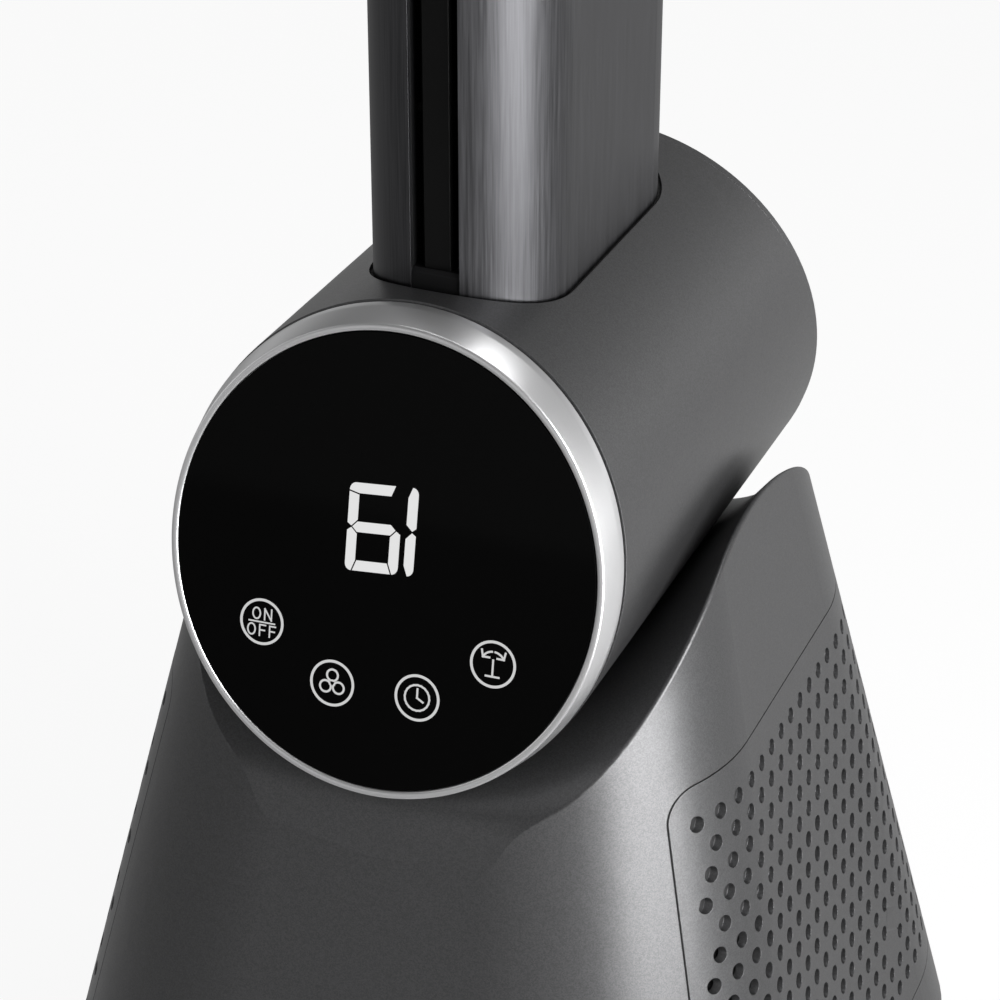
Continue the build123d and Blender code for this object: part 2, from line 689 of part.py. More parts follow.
def make_power_board():
    """The power board with its largest components."""
    z = power_board_z()
    half = POWER_BOARD_LENGTH / 2
    y = (POWER_BOARD_Y - POWER_BOARD_WIDTH / 2, POWER_BOARD_Y + POWER_BOARD_WIDTH / 2)
    board = box((-half, half), y, (z, z + BOARD_THICK))
    for x, hole_y in power_board_holes():
        board = board - post(SCREW_RADIUS + SLIP_GAP, (0, LONG), x, hole_y)
    top = z + BOARD_THICK
    transformer = box((-10, 10), (POWER_BOARD_Y - 9, POWER_BOARD_Y + 9), (top, top + 16))
    capacitor = post(5.0, (top, top + 20), 20, POWER_BOARD_Y + 2)
    second = post(4.0, (top, top + 14), -19, POWER_BOARD_Y - 7)
    choke = box((-26, -14), (POWER_BOARD_Y + 3, POWER_BOARD_Y + 14), (top, top + 9))
    return board + transformer + capacitor + second + choke


def make_power_inlet():
    """The two-pin mains inlet, standing on the pan behind its opening."""
    half = INLET_WIDTH / 2
    y = (INLET_FACE - INLET_DEPTH, INLET_FACE)
    z = (INLET_CENTRE - INLET_HEIGHT / 2, INLET_CENTRE + INLET_HEIGHT / 2)
    body = box((-half, half), y, z)
    leg_y = (y[0], y[0] + INLET_DEPTH / 2)
    body = body + box((-half, half), leg_y, (PAN_TOP, z[0]))
    recess = SlotOverall(RECESS_WIDTH, RECESS_HEIGHT)
    placed = Plane(origin=(0, INLET_FACE, INLET_CENTRE), x_dir=(-1, 0, 0), z_dir=(0, 1, 0))
    body = body - extrude(placed * recess, amount=-RECESS_DEPTH)
    for pin in inlet_pin_forms():
        body = body - pin
    return body


def inlet_pin_forms():
    """The two contact pins."""
    pins = []
    for side in (-1, 1):
        origin = (side * PIN_SPREAD / 2, INLET_FACE - INLET_DEPTH - 3, INLET_CENTRE)
        start = Plane(origin=origin, z_dir=(0, 1, 0))
        length = INLET_DEPTH + 3 - 1.5
        pins.append(start * Cylinder(PIN_RADIUS, length, align=(Align.CENTER, Align.CENTER, Align.MIN)))
    return pins


def make_inlet_pins():
    """The contact pins as pieces."""
    return merged(inlet_pin_forms())


# ---------------------------------------------------------------- blower
def shroud_radius(z):
    """Inner radius of the inlet shroud at a height."""
    share = (z - THROAT_TOP) / (SHROUD_TOP - THROAT_TOP)
    return THROAT_RADIUS + (SHROUD_RADIUS - THROAT_RADIUS) * max(0.0, min(1.0, share))


def make_inlet_shroud():
    """The blower's bellmouth and conical shroud, on three posts."""
    wall = SHROUD_WALL
    points = (
        (THROAT_RADIUS, THROAT_TOP),
        (SHROUD_RADIUS, SHROUD_TOP),
        (FLANGE_RADIUS, SHROUD_TOP),
        (FLANGE_RADIUS, SHROUD_TOP - FLANGE_THICK),
        (SHROUD_RADIUS + wall, SHROUD_TOP - FLANGE_THICK),
        (THROAT_RADIUS + wall, THROAT_TOP - 1),
        (THROAT_RADIUS + 9, SHROUD_BOTTOM + wall),
        (THROAT_RADIUS + 9, SHROUD_BOTTOM),
        (THROAT_RADIUS + 5, SHROUD_BOTTOM),
    )
    shroud = turned(points)
    for x, y, _ in around(3, POST_CIRCLE, 30):
        leg = post(POST_RADIUS, (PAN_TOP, SHROUD_TOP - FLANGE_THICK), x, y)
        shroud = shroud + leg
        shroud = shroud - post(SCREW_RADIUS, (0, PAN_TOP + 10), x, y)
    for x, y, _ in around(6, flange_screw_circle(), 0):
        shroud = shroud - post(SCREW_RADIUS, (SHROUD_TOP - 4, SHROUD_TOP + 1), x, y)
    return shroud


def flange_screw_circle():
    """Radius of the circle of screws in the blower's flanges."""
    return (SHROUD_RADIUS + SHROUD_WALL + FLANGE_RADIUS) / 2


def impeller_envelope():
    """The space that the blades may fill inside the shroud."""
    low = IMPELLER_BOTTOM
    high = IMPELLER_TOP
    points = (
        (0.0, low),
        (shroud_radius(low) - BLADE_GAP, low),
        (shroud_radius(high) - BLADE_GAP, high),
        (0.0, high),
    )
    return turned(points)


def make_impeller():
    """The blower wheel: a cone hub with backward-curved blades."""
    low = IMPELLER_BOTTOM
    high = IMPELLER_TOP
    rim = ((IMPELLER_HUB, high - 2), (IMPELLER_HUB, high))
    cone = turned(((0.0, low), (IMPELLER_NOSE, low), *rim, (0.0, high)))
    floor = high - HUB_HOLLOW
    bowl = ((IMPELLER_NOSE + 4, floor), (IMPELLER_HUB - 3, high + 1))
    hollow = turned(((0.0, floor), *bowl, (0.0, high + 1)))
    wheel = cone - (hollow - post(IMPELLER_NOSE - 3, (0, LONG)))
    core = ((IMPELLER_NOSE - 2, low - 1), (IMPELLER_HUB - 2, high + 1))
    space = impeller_envelope() - turned(((0.0, low - 1), *core, (0.0, high + 1)))
    for _, _, angle in around(BLADE_COUNT, 1.0):
        wheel = wheel + (Rot(0, 0, angle) * blade_plate() & space)
    return wheel - post(SHAFT_RADIUS, (0, LONG))


def blade_plate():
    """One curved upright plate from the hub outwards."""
    inner = IMPELLER_NOSE - 3
    outer = SHROUD_RADIUS + 2
    bow = (outer - inner) * 0.16
    start = (inner, 0.0)
    end = (outer * cos(radians(-38)), outer * sin(radians(-38)))
    middle = ((start[0] + end[0]) / 2 + bow * 0.6, (start[1] + end[1]) / 2 + bow)
    line = ThreePointArc(start, middle, end)
    strip = trace(line, BLADE_THICK)
    return extrude(Pos(0, 0, IMPELLER_BOTTOM - 1) * strip, IMPELLER_TOP - IMPELLER_BOTTOM + 2)


def make_diffuser():
    """The guide-vane ring over the wheel, with the cup that holds the motor."""
    outer = tube(SHROUD_RADIUS + SHROUD_WALL, SHROUD_RADIUS, (SHROUD_TOP, DIFFUSER_TOP))
    lower = tube(FLANGE_RADIUS, SHROUD_RADIUS, (SHROUD_TOP, SHROUD_TOP + FLANGE_THICK))
    upper = tube(FLANGE_RADIUS, SHROUD_RADIUS, (DIFFUSER_TOP - FLANGE_THICK, DIFFUSER_TOP))
    cup_top = MOTOR_TOP + 3
    cup = post(CUP_RADIUS, (MOTOR_BOTTOM, cup_top)) - post(CUP_RADIUS - CUP_WALL, (0, MOTOR_TOP))
    cup = cup - post(SHAFT_RADIUS + 3, (0, LONG))
    body = outer + lower + upper + cup
    space = tube(SHROUD_RADIUS + 1, CUP_RADIUS - 1, (MOTOR_BOTTOM, DIFFUSER_TOP - 1))
    for _, _, angle in around(STATOR_VANES, 1.0):
        body = body + (Rot(0, 0, angle) * stator_plate() & space)
    for x, y, _ in around(6, flange_screw_circle(), 0):
        body = body - post(SCREW_RADIUS + SLIP_GAP, (0, SHROUD_TOP + 10), x, y)
    for x, y, _ in around(6, flange_screw_circle(), 30):
        body = body - post(SCREW_RADIUS, (DIFFUSER_TOP - FLANGE_THICK - 1, LONG), x, y)
    return body


def stator_plate():
    """One curved guide vane between the motor cup and the outer wall."""
    inner = CUP_RADIUS - CUP_WALL / 2
    outer = SHROUD_RADIUS + 0.8
    end = (outer * cos(radians(26)), outer * sin(radians(26)))
    middle = ((inner + end[0]) / 2 + 2, end[1] / 2 - 4)
    strip = trace(ThreePointArc((inner, 0.0), middle, end), SHROUD_WALL)
    return extrude(Pos(0, 0, MOTOR_BOTTOM) * strip, DIFFUSER_TOP - MOTOR_BOTTOM - 1)


def make_flange_screws():
    """Screws that hold the diffuser on the shroud, and the duct on the diffuser."""
    seat = SHROUD_TOP + FLANGE_THICK
    screws = [screw_down(x, y, seat, SHORT_SCREW) for x, y, _ in around(6, flange_screw_circle(), 0)]
    seat = DIFFUSER_TOP + FLANGE_THICK
    upper = around(6, flange_screw_circle(), 30)
    return merged(screws + [screw_down(x, y, seat, SHORT_SCREW) for x, y, _ in upper])


def make_motor_can():
    """The blower motor's can with its lower bearing seat."""
    z = (MOTOR_BOTTOM, MOTOR_TOP - MOTOR_PLATE)
    can = post(MOTOR_RADIUS, z)
    can = can - post(MOTOR_RADIUS - MOTOR_SHELL, (z[0] + MOTOR_PLATE, LONG))
    return can - post(BEARING_RADIUS, (0, LONG))


def make_motor_end_cap():
    """The plate that closes the motor's can, with the upper bearing seat."""
    cap = post(MOTOR_RADIUS, (MOTOR_TOP - MOTOR_PLATE, MOTOR_TOP))
    return cap - post(BEARING_RADIUS, (0, LONG))


def make_motor_bearings():
    """The two bearings of the blower shaft."""
    rings = []
    for low in (MOTOR_BOTTOM, MOTOR_TOP - MOTOR_PLATE):
        rings.append(tube(BEARING_RADIUS, SHAFT_RADIUS + FIT_GAP, (low, low + MOTOR_PLATE)))
    return merged(rings)


def make_motor_stator():
    """The wound ring inside the motor's can."""
    outer = MOTOR_RADIUS - MOTOR_SHELL
    z = (MOTOR_BOTTOM + MOTOR_PLATE, MOTOR_TOP - MOTOR_PLATE)
    ring = tube(outer, STATOR_INNER, z)
    for x, y, _ in around(9, (outer + STATOR_INNER) / 2, 20):
        ring = ring - post((outer - STATOR_INNER) / 4, (0, LONG), x, y)
    return ring


def make_motor_rotor():
    """The magnet drum on the blower shaft."""
    z = (MOTOR_BOTTOM + MOTOR_PLATE + 1, MOTOR_TOP - MOTOR_PLATE - 1)
    return tube(ROTOR_RADIUS, SHAFT_RADIUS, z)


def make_blower_shaft():
    """The shaft that carries the wheel and the magnet drum."""
    return post(SHAFT_RADIUS, (SHAFT_BOTTOM, MOTOR_TOP + 1))


def make_wheel_nut():
    """The nut under the wheel."""
    outline = RegularPolygon(NUT_RADIUS, 6)
    nut = extrude(Pos(0, 0, IMPELLER_BOTTOM - NUT_THICK) * outline, NUT_THICK)
    return nut - post(SHAFT_RADIUS, (0, LONG))


def make_motor_cushion():
    """The rubber sleeve between the motor and its cup."""
    return tube(CUP_RADIUS - CUP_WALL, MOTOR_RADIUS, (MOTOR_BOTTOM + 1, MOTOR_TOP - 3))


def make_motor_retainer():
    """The plate under the motor that keeps it in its cup."""
    plate = tube(CUP_RADIUS, BEARING_RADIUS + 4, (MOTOR_BOTTOM - 2.5, MOTOR_BOTTOM))
    return plate


def duct_form(inset):
    """The air duct from the blower to the saddle, as a solid moved in by inset."""
    low = 2 * (FLANGE_RADIUS - 8) - 2 * inset
    top_x = DUCT_PORT_WIDTH - 2 * inset
    top_y = CLAMP_LENGTH + DUCT_PORT_LAP - 2 * inset
    corner = DUCT_PORT_CORNER - inset
    high = AXIS_HEIGHT - SADDLE_RADIUS * cos(radians(RIM_ANGLE)) + 4
    sections = [
        Pos(0, 0, DIFFUSER_TOP) * RectangleRounded(low, low, low / 2 - 1),
        Pos(0, 0, high) * RectangleRounded(top_x, top_y, corner),
    ]
    return loft(sections, ruled=True)


def make_air_duct():
    """The duct that leads the air up to the port in the saddle."""
    duct = duct_form(0.0) - duct_form(SHROUD_WALL)
    flange = tube(FLANGE_RADIUS, SHROUD_RADIUS, (DIFFUSER_TOP, DIFFUSER_TOP + FLANGE_THICK))
    duct = duct + (flange - duct_form(SHROUD_WALL))
    for x, y, _ in around(6, flange_screw_circle(), 30):
        duct = duct - post(SCREW_RADIUS + SLIP_GAP, (0, DIFFUSER_TOP + 10), x, y)
    return duct - saddle_groove(BASE_WALL)


def make_glide_pads():
    """The two curved pads that the drum slides on."""
    return merged(list(glide_pad_form(0.0)))


# ---------------------------------------------------------------- drum
def slanted_disc(radius, near, far, front=True):
    """A slice of a cylinder along the drum's axis, between two leaning planes.

    near and far are depths behind the display face, or before the rear face.
    """
    lean = radians(FRONT_LEAN if front else REAR_LEAN)
    inward = 1 if front else -1
    face_y = -DRUM_FRONT if front else DRUM_REAR
    placed = Plane(
        origin=(0, face_y + inward * near, AXIS_HEIGHT),
        x_dir=(inward, 0, 0),
        z_dir=(0, -inward * cos(lean), sin(lean)),
    )
    outline = placed * Ellipse(radius, radius / cos(lean))
    return extrude(outline, amount=far - near, dir=(0, inward, 0))


def slanted_cone(radius_near, radius_far, near, far):
    """A bevel between two leaning planes behind the display face."""
    lean = radians(FRONT_LEAN)
    outlines = []
    for radius, depth in ((radius_near, near), (radius_far, far)):
        placed = Plane(
            origin=(0, -DRUM_FRONT + depth, AXIS_HEIGHT),
            x_dir=(1, 0, 0),
            z_dir=(0, -cos(lean), sin(lean)),
        )
        outlines.append(placed * Ellipse(radius, radius / cos(lean)))
    return loft(outlines, ruled=True)


def face_place(x, up):
    """y and z of a place on the display face."""
    lean = radians(FRONT_LEAN)
    return x, -DRUM_FRONT + up * sin(lean), AXIS_HEIGHT + up * cos(lean)


def face_plug(x, up, radius, near, far):
    """A round plug along the drum's axis behind a place on the display face."""
    _, y, z = face_place(x, up)
    start = Plane(origin=(x, y + near, z), z_dir=(0, 1, 0))
    return start * Cylinder(radius, far - near, align=(Align.CENTER, Align.CENTER, Align.MIN))


def boss_places():
    """Places of the four screw bosses at the front of the drum, across and along the face."""
    radius = (SPIGOT_RADIUS + BEZEL_BORE) / 2
    return [(x, z / cos(radians(FRONT_LEAN))) for x, z, _ in around(4, radius, 45)]


def make_bezel_ring():
    """The satin metal ring round the display, bevelled outwards."""
    ring = slanted_cone(BEZEL_LIP, BEZEL_RADIUS, 0.0, BEZEL_BEVEL)
    ring = ring + slanted_disc(BEZEL_RADIUS, BEZEL_BEVEL, BEZEL_DEPTH)
    ring = ring + slanted_disc(SPIGOT_RADIUS, BEZEL_DEPTH, SPIGOT_DEPTH)
    ledge = GLASS_RECESS + GLASS_THICK + 0.6
    ring = ring - slanted_disc(GLASS_RADIUS + SLIP_GAP, -1.0, ledge)
    ring = ring - slanted_disc(BEZEL_BORE, 0.0, SPIGOT_DEPTH + 1)
    for x, up in boss_places():
        ring = ring - face_plug(x, up, SCREW_RADIUS, SPIGOT_DEPTH - 7, SPIGOT_DEPTH + 2)
    return ring


def make_display_glass():
    """The round black touch glass."""
    return slanted_disc(GLASS_RADIUS, GLASS_RECESS, GLASS_RECESS + GLASS_THICK)


def make_glass_gasket():
    """The foam ring between the glass and its ledge."""
    back = GLASS_RECESS + GLASS_THICK
    ring = slanted_disc(GLASS_RADIUS, back, back + 0.6)
    return ring - slanted_disc(BEZEL_BORE + 0.4, back - 1, back + 2)


def touch_places():
    """Places of the four touch keys on the face."""
    return [(side * x, up) for x, up in (TOUCH_OUTER, TOUCH_INNER) for side in (-1, 1)]


def digits_block(grow, near, far):
    """The digit module's block, or its window when grown."""
    half = DIGITS_WIDTH / 2 + grow
    _, y, z = face_place(0.0, DIGITS_UP)
    lean = radians(FRONT_LEAN)
    placed = Plane(origin=(0, y + near, z), x_dir=(1, 0, 0), z_dir=(0, -cos(lean), sin(lean)))
    outline = placed * Rectangle(2 * half, DIGITS_HEIGHT + 2 * grow)
    return extrude(outline, amount=far - near, dir=(0, 1, 0))


def carrier_depths():
    """Front and back depth of the display carrier's plate."""
    near = GLASS_RECESS + GLASS_THICK
    return near, near + CARRIER_THICK


def make_display_carrier():
    """The black cup behind the glass, with windows for the digits and the keys."""
    near, far = carrier_depths()
    cup = slanted_disc(CARRIER_RADIUS, near, SPIGOT_DEPTH)
    cup = cup - slanted_disc(BOARD_RADIUS + SLIP_GAP, far, SPIGOT_DEPTH + 1)
    cup = cup - digits_block(SLIP_GAP, near - 1, far + 1)
    for x, up in touch_places():
        cup = cup - face_plug(x, up, TOUCH_RADIUS + SLIP_GAP, near - 1, far + 1)
    return cup


def make_digit_module():
    """The light block of the two digits."""
    near, far = carrier_depths()
    return digits_block(0.0, near, far)


def make_touch_springs():
    """The four key contacts between the glass and the board."""
    near, far = carrier_depths()
    springs = []
    for x, up in touch_places():
        springs.append(face_plug(x, up, TOUCH_RADIUS, near, far) & slanted_disc(CARRIER_RADIUS, near, far))
    return merged(springs)


def make_display_board():
    """The round circuit board behind the carrier."""
    _, far = carrier_depths()
    return slanted_disc(BOARD_RADIUS, far, far + BOARD_THICK)


def bezel_screw_seat():
    """Depth of the flat seats of the bezel's screws behind the face."""
    return SPIGOT_DEPTH + 12


def drum_bosses():
    """Screw bosses inside the front of the drum."""
    bosses = []
    for x, up in boss_places():
        boss = face_plug(x, up, SMALL_HEAD + 1, SPIGOT_DEPTH - 12, bezel_screw_seat())
        bosses.append(boss & slanted_disc(DRUM_RADIUS - 0.5, SPIGOT_DEPTH, 2 * SPIGOT_DEPTH))
    return bosses


def neck_form(width, length):
    """The upright prism of the air neck."""
    return stadium(width, length - width, (AXIS_HEIGHT - LONG / 4, AXIS_HEIGHT - DRUM_RADIUS / 2))


def clamp_screw_places():
    """Places of the four screws of the clamp."""
    return [(sx * CLAMP_SCREW_X, sy * CLAMP_SCREW_Y) for sx in (-1, 1) for sy in (-1, 1)]


def clamp_screw_seat():
    """Height of the flat seat that the clamp's screw heads bear on."""
    return AXIS_HEIGHT - CLAMP_INNER - CLAMP_THICK / 2


def make_drum_shell():
    """The painted drum that carries the column, with the neck that reaches into the base."""
    near = BEZEL_DEPTH + BEZEL_SEAM
    depth = DRUM_FRONT + DRUM_REAR - near
    shell = slanted_disc(DRUM_RADIUS, near, near + depth + 60)
    shell = shell & slanted_disc(DRUM_RADIUS + 1, cap_shell_depth(), 260, False)
    shell = shell - lying(DRUM_RADIUS - DRUM_WALL, (-LONG, LONG))
    neck = neck_form(NECK_WIDTH, NECK_LENGTH) & lying(CLAMP_INNER, (-LONG, LONG))
    neck = neck - lying(DRUM_RADIUS - DRUM_WALL, (-LONG, LONG))
    shell = shell + neck
    for boss in drum_bosses():
        shell = shell + boss
    for x, up in boss_places():
        shell = shell - face_plug(x, up, SCREW_RADIUS + SLIP_GAP, 0, SPIGOT_DEPTH + 30)
    shell = shell - neck_form(NECK_WINDOW_WIDTH, NECK_WINDOW_LENGTH)
    for x, y in clamp_screw_places():
        shell = shell - post(SCREW_RADIUS, (0, AXIS_HEIGHT - DRUM_RADIUS + 1.2), x, y)
    z = (AXIS_HEIGHT, AXIS_HEIGHT + LONG)
    hole = stadium(COLUMN_WIDTH + 2 * HOLE_GAP, COLUMN_STRAIGHT, z, COLUMN_SHIFT)
    return shell - hole


def make_tilt_clamp():
    """The curved plate under the saddle that keeps the drum down and lets it roll."""
    shell = lying(CLAMP_OUTER, (-CLAMP_LENGTH / 2, CLAMP_LENGTH / 2)) - lying(CLAMP_INNER, (-LONG, LONG))
    outline = RectangleRounded(2 * CLAMP_HALF_WIDTH, CLAMP_LENGTH, 8.0)
    below = extrude(Pos(0, 0, AXIS_HEIGHT - LONG / 3) * outline, LONG / 3)
    plate = shell & below
    plate = plate - neck_form(NECK_WINDOW_WIDTH, NECK_WINDOW_LENGTH)
    for x, y in clamp_screw_places():
        plate = plate - post(SCREW_RADIUS + SLIP_GAP, (0, AXIS_HEIGHT), x, y)
        plate = plate - post(SCREW_HEAD + SLIP_GAP, (0, clamp_screw_seat()), x, y)
    return plate


def make_clamp_screws():
    """The screws that hold the clamp to the drum's neck."""
    top = AXIS_HEIGHT - DRUM_RADIUS
    return merged([screw_up(x, y, (clamp_screw_seat(), top)) for x, y in clamp_screw_places()])


def make_bezel_screws():
    """The screws through the drum's bosses into the bezel ring."""
    screws = []
    seat = bezel_screw_seat()
    for x, up in boss_places():
        shank = face_plug(x, up, SCREW_RADIUS, SPIGOT_DEPTH - 6, seat)
        screws.append(shank + face_plug(x, up, SMALL_HEAD, seat, seat + SCREW_HEAD_THICK))
    return merged(screws)


def cap_shell_depth():
    """Depth of the drum shell's rear edge before the rear face."""
    return REAR_CAP_THICK + BEZEL_SEAM


def make_rear_cap():
    """The leaning disc that closes the back of the drum."""
    disc = slanted_disc(DRUM_RADIUS - 2 * SLIP_GAP, 0.0, REAR_CAP_THICK, False)
    spigot = slanted_disc(SPIGOT_RADIUS, REAR_CAP_THICK, REAR_SPIGOT_DEPTH, False)
    bore = SPIGOT_RADIUS - REAR_SPIGOT_WALL
    spigot = spigot - slanted_disc(bore, REAR_CAP_THICK - 1, REAR_SPIGOT_DEPTH + 1, False)
    dish = slanted_disc(DRUM_RADIUS * 0.8, -1.0, 0.8, False)
    return disc + spigot - dish


def make_column_gasket():
    """The dark seal between the column and the drum's opening, set below the surface."""
    z = (AXIS_HEIGHT, AXIS_HEIGHT + LONG / 3)
    ring = stadium(COLUMN_WIDTH + 2 * HOLE_GAP, COLUMN_STRAIGHT, z, COLUMN_SHIFT)
    ring = ring - stadium(COLUMN_WIDTH, COLUMN_STRAIGHT, (0, TOTAL_HEIGHT), COLUMN_SHIFT)
    return ring & (lying(DRUM_RADIUS - 1.4, (-LONG, LONG)) - lying(DRUM_RADIUS - DRUM_WALL, (-LONG, LONG)))


# ---------------------------------------------------------------- column
def column_form(width, z):
    """The column's outline at a width, as a prism."""
    return stadium(width, COLUMN_STRAIGHT, z, COLUMN_SHIFT)


def make_plenum():
    """The inner duct of the drum, which widens from the neck to the column's socket."""
    outer_width = COLUMN_WIDTH + 2 * SLIP_GAP + 2 * PLENUM_WALL
    ledge = COLUMN_FOOT_Z
    low = AXIS_HEIGHT - DRUM_RADIUS
    outer = column_form(outer_width, (ledge - PLENUM_WALL, ledge + LONG / 8)) + plenum_funnel(0.0, low)
    inner = column_form(COLUMN_WIDTH + 2 * SLIP_GAP, (ledge, ledge + LONG / 4))
    inner = inner + column_form(DUCT_WIDTH - 2 * DUCT_WALL, (ledge - 2 * PLENUM_WALL, ledge + 1))
    inner = inner + plenum_funnel(PLENUM_WALL, low - 1)
    body = (outer - inner) & lying(DRUM_RADIUS - DRUM_WALL, (-LONG, LONG))
    for tool in column_screw_bars(SCREW_RADIUS):
        body = body - tool
    return body


def plenum_funnel(inset, low):
    """The widening part of the plenum, as a solid moved in by inset."""
    width_low = NECK_WINDOW_WIDTH + 2 * PLENUM_WALL - 2 * inset
    straight_low = NECK_WINDOW_LENGTH - NECK_WINDOW_WIDTH
    width_high = COLUMN_WIDTH + 2 * SLIP_GAP + 2 * PLENUM_WALL - 2 * inset
    high = COLUMN_FOOT_Z - PLENUM_WALL
    sections = [
        Pos(0, 0, low) * SlotCenterToCenter(straight_low, width_low, rotation=90),
        Pos(0, COLUMN_SHIFT, high) * SlotCenterToCenter(COLUMN_STRAIGHT, width_high, rotation=90),
    ]
    return loft(sections, ruled=True)


def column_screw_bars(radius):
    """Two bars across the column's foot on each side, where its screws go."""
    bars = []
    reach = COLUMN_WIDTH / 2 + SLIP_GAP + PLENUM_WALL
    depth = SKIN_WALL + SLIP_GAP + DUCT_WALL + PLENUM_WALL + 1
    for side in (-1, 1):
        for y in (-1, 1):
            origin = (side * reach, COLUMN_SHIFT + y * COLUMN_STRAIGHT / 3, COLUMN_FOOT_Z + COLUMN_SCREW_UP)
            start = Plane(origin=origin, z_dir=(-side, 0, 0))
            bars.append(start * Cylinder(radius, depth, align=(Align.CENTER, Align.CENTER, Align.MIN)))
    return bars


def make_column_screws():
    """The screws that hold the column in its socket."""
    screws = []
    reach = COLUMN_WIDTH / 2 + SLIP_GAP + PLENUM_WALL
    for index, bar in enumerate(column_screw_bars(SCREW_RADIUS)):
        side = -1 if index < 2 else 1
        y = COLUMN_SHIFT + (-1 if index % 2 == 0 else 1) * COLUMN_STRAIGHT / 3
        start = Plane(origin=(side * reach, y, COLUMN_FOOT_Z + COLUMN_SCREW_UP), z_dir=(side, 0, 0))
        head = start * Cylinder(SCREW_HEAD, SCREW_HEAD_THICK, align=(Align.CENTER, Align.CENTER, Align.MIN))
        screws.append(bar + head)
    return merged(screws)


def make_column_skin(side):
    """One brushed metal side of the column, open at the slot and at the spine."""
    z = (COLUMN_FOOT_Z, COLUMN_TOP)
    ring = column_form(COLUMN_WIDTH, z) - column_form(COLUMN_INNER, (z[0] - 1, z[1] + 1))
    whole = (0, 3 * LONG)
    front = box((0, LONG), (-LONG, COLUMN_SHIFT), whole) - box((0, SLOT_HALF), (-LONG, LONG), whole)
    back = box((SPINE_HALF, LONG), (COLUMN_SHIFT, LONG), whole)
    half = front + back
    if side < 0:
        half = mirror(half, Plane.YZ)
    skin = ring & half
    for tool in column_screw_bars(SCREW_RADIUS + SLIP_GAP):
        skin = skin - tool
    return skin


def make_column_spine():
    """The dark strip that joins the two sides at the back."""
    z = (COLUMN_FOOT_Z, COLUMN_TOP)
    ring = column_form(COLUMN_WIDTH, z) - column_form(COLUMN_INNER, (z[0] - 1, z[1] + 1))
    return ring & box((-SPINE_HALF, SPINE_HALF), (COLUMN_SHIFT, LONG), (0, LONG * 3))


def slot_front():
    """y of the column's surface at the edge of the slot."""
    radius = COLUMN_WIDTH / 2
    return COLUMN_NOSE - sqrt(radius ** 2 - SLOT_HALF ** 2)


def make_column_duct():
    """The inner duct of the column, with the two lips of the outlet slot."""
    z = (COLUMN_FOOT_Z, COLUMN_TOP)
    duct = column_form(DUCT_WIDTH, z) - column_form(DUCT_WIDTH - 2 * DUCT_WALL, (z[0] - 1, z[1] + 1))
    lips = box((-SLOT_HALF - LIP_THICK, SLOT_HALF + LIP_THICK), (-LONG, slot_front() + LIP_DEPTH), z)
    lips = lips & column_form(DUCT_WIDTH, z)
    duct = duct + lips
    duct = duct - box((-SLOT_HALF, SLOT_HALF), (-LONG, slot_front() + LIP_DEPTH + 1), (0, LONG * 3))
    for tool in column_screw_bars(SCREW_RADIUS):
        duct = duct - tool
    return duct


def vane_z():
    """Heights between which the slot's centre vane stands."""
    return AXIS_HEIGHT + SLOT_FOOT_TOP, COLUMN_TOP - SLOT_PLUG


def make_outlet_vane():
    """The glossy centre vane of the slot, with webs that hold it between the lips."""
    front = slot_front() + VANE_SETBACK
    z = vane_z()
    edge = 0.8
    outline = Polyline(
        (-VANE_HALF + edge, front),
        (VANE_HALF - edge, front),
        (VANE_HALF, front + edge),
        (VANE_HALF, front + VANE_DEPTH / 3),
        (VANE_TAIL, front + VANE_DEPTH),
        (-VANE_TAIL, front + VANE_DEPTH),
        (-VANE_HALF, front + VANE_DEPTH / 3),
        (-VANE_HALF, front + edge),
        close=True,
    )
    vane = extrude(Pos(0, 0, z[0]) * make_face(outline), z[1] - z[0])
    count = int((z[1] - z[0]) / WEB_PITCH)
    for index in range(count):
        height = z[0] + (index + 0.5) * (z[1] - z[0]) / count
        web_y = (front + 4, slot_front() + LIP_DEPTH - 1)
        vane = vane + box((-SLOT_HALF, SLOT_HALF), web_y, (height, height + WEB_THICK))
    return vane


def slot_block(z):
    """A block that fills the slot between two heights."""
    return box((-SLOT_HALF, SLOT_HALF), (slot_front() + 0.6, slot_front() + LIP_DEPTH - 2), z)


def make_slot_foot():
    """The block that closes the slot's lower end, with a low sill round the vane."""
    block = slot_block((COLUMN_FOOT_Z, AXIS_HEIGHT + SLOT_FOOT_TOP))
    return chamfer(block.edges().group_by(Axis.Z)[-1].sort_by(Axis.Y)[0], 1.2)


def make_slot_head():
    """The block that closes the slot's upper end."""
    return slot_block((COLUMN_TOP - SLOT_PLUG, COLUMN_TOP))


def make_column_cap():
    """The rounded cap on the column, with a plug that fits the duct."""
    plate = column_form(COLUMN_WIDTH, (COLUMN_TOP, TOTAL_HEIGHT))
    plate = fillet(plate.edges().group_by(Axis.Z)[-1], CAP_ROUND)
    width = DUCT_WIDTH - 2 * DUCT_WALL - 2 * SLIP_GAP
    z = (COLUMN_TOP - CAP_PLUG, COLUMN_TOP)
    plug = column_form(width, z) - column_form(width - 5, (z[0] - 1, z[1]))
    keep = box((-LONG, LONG), (slot_front() + LIP_DEPTH + VANE_DEPTH / 2, LONG), z)
    return plate + (plug & keep)


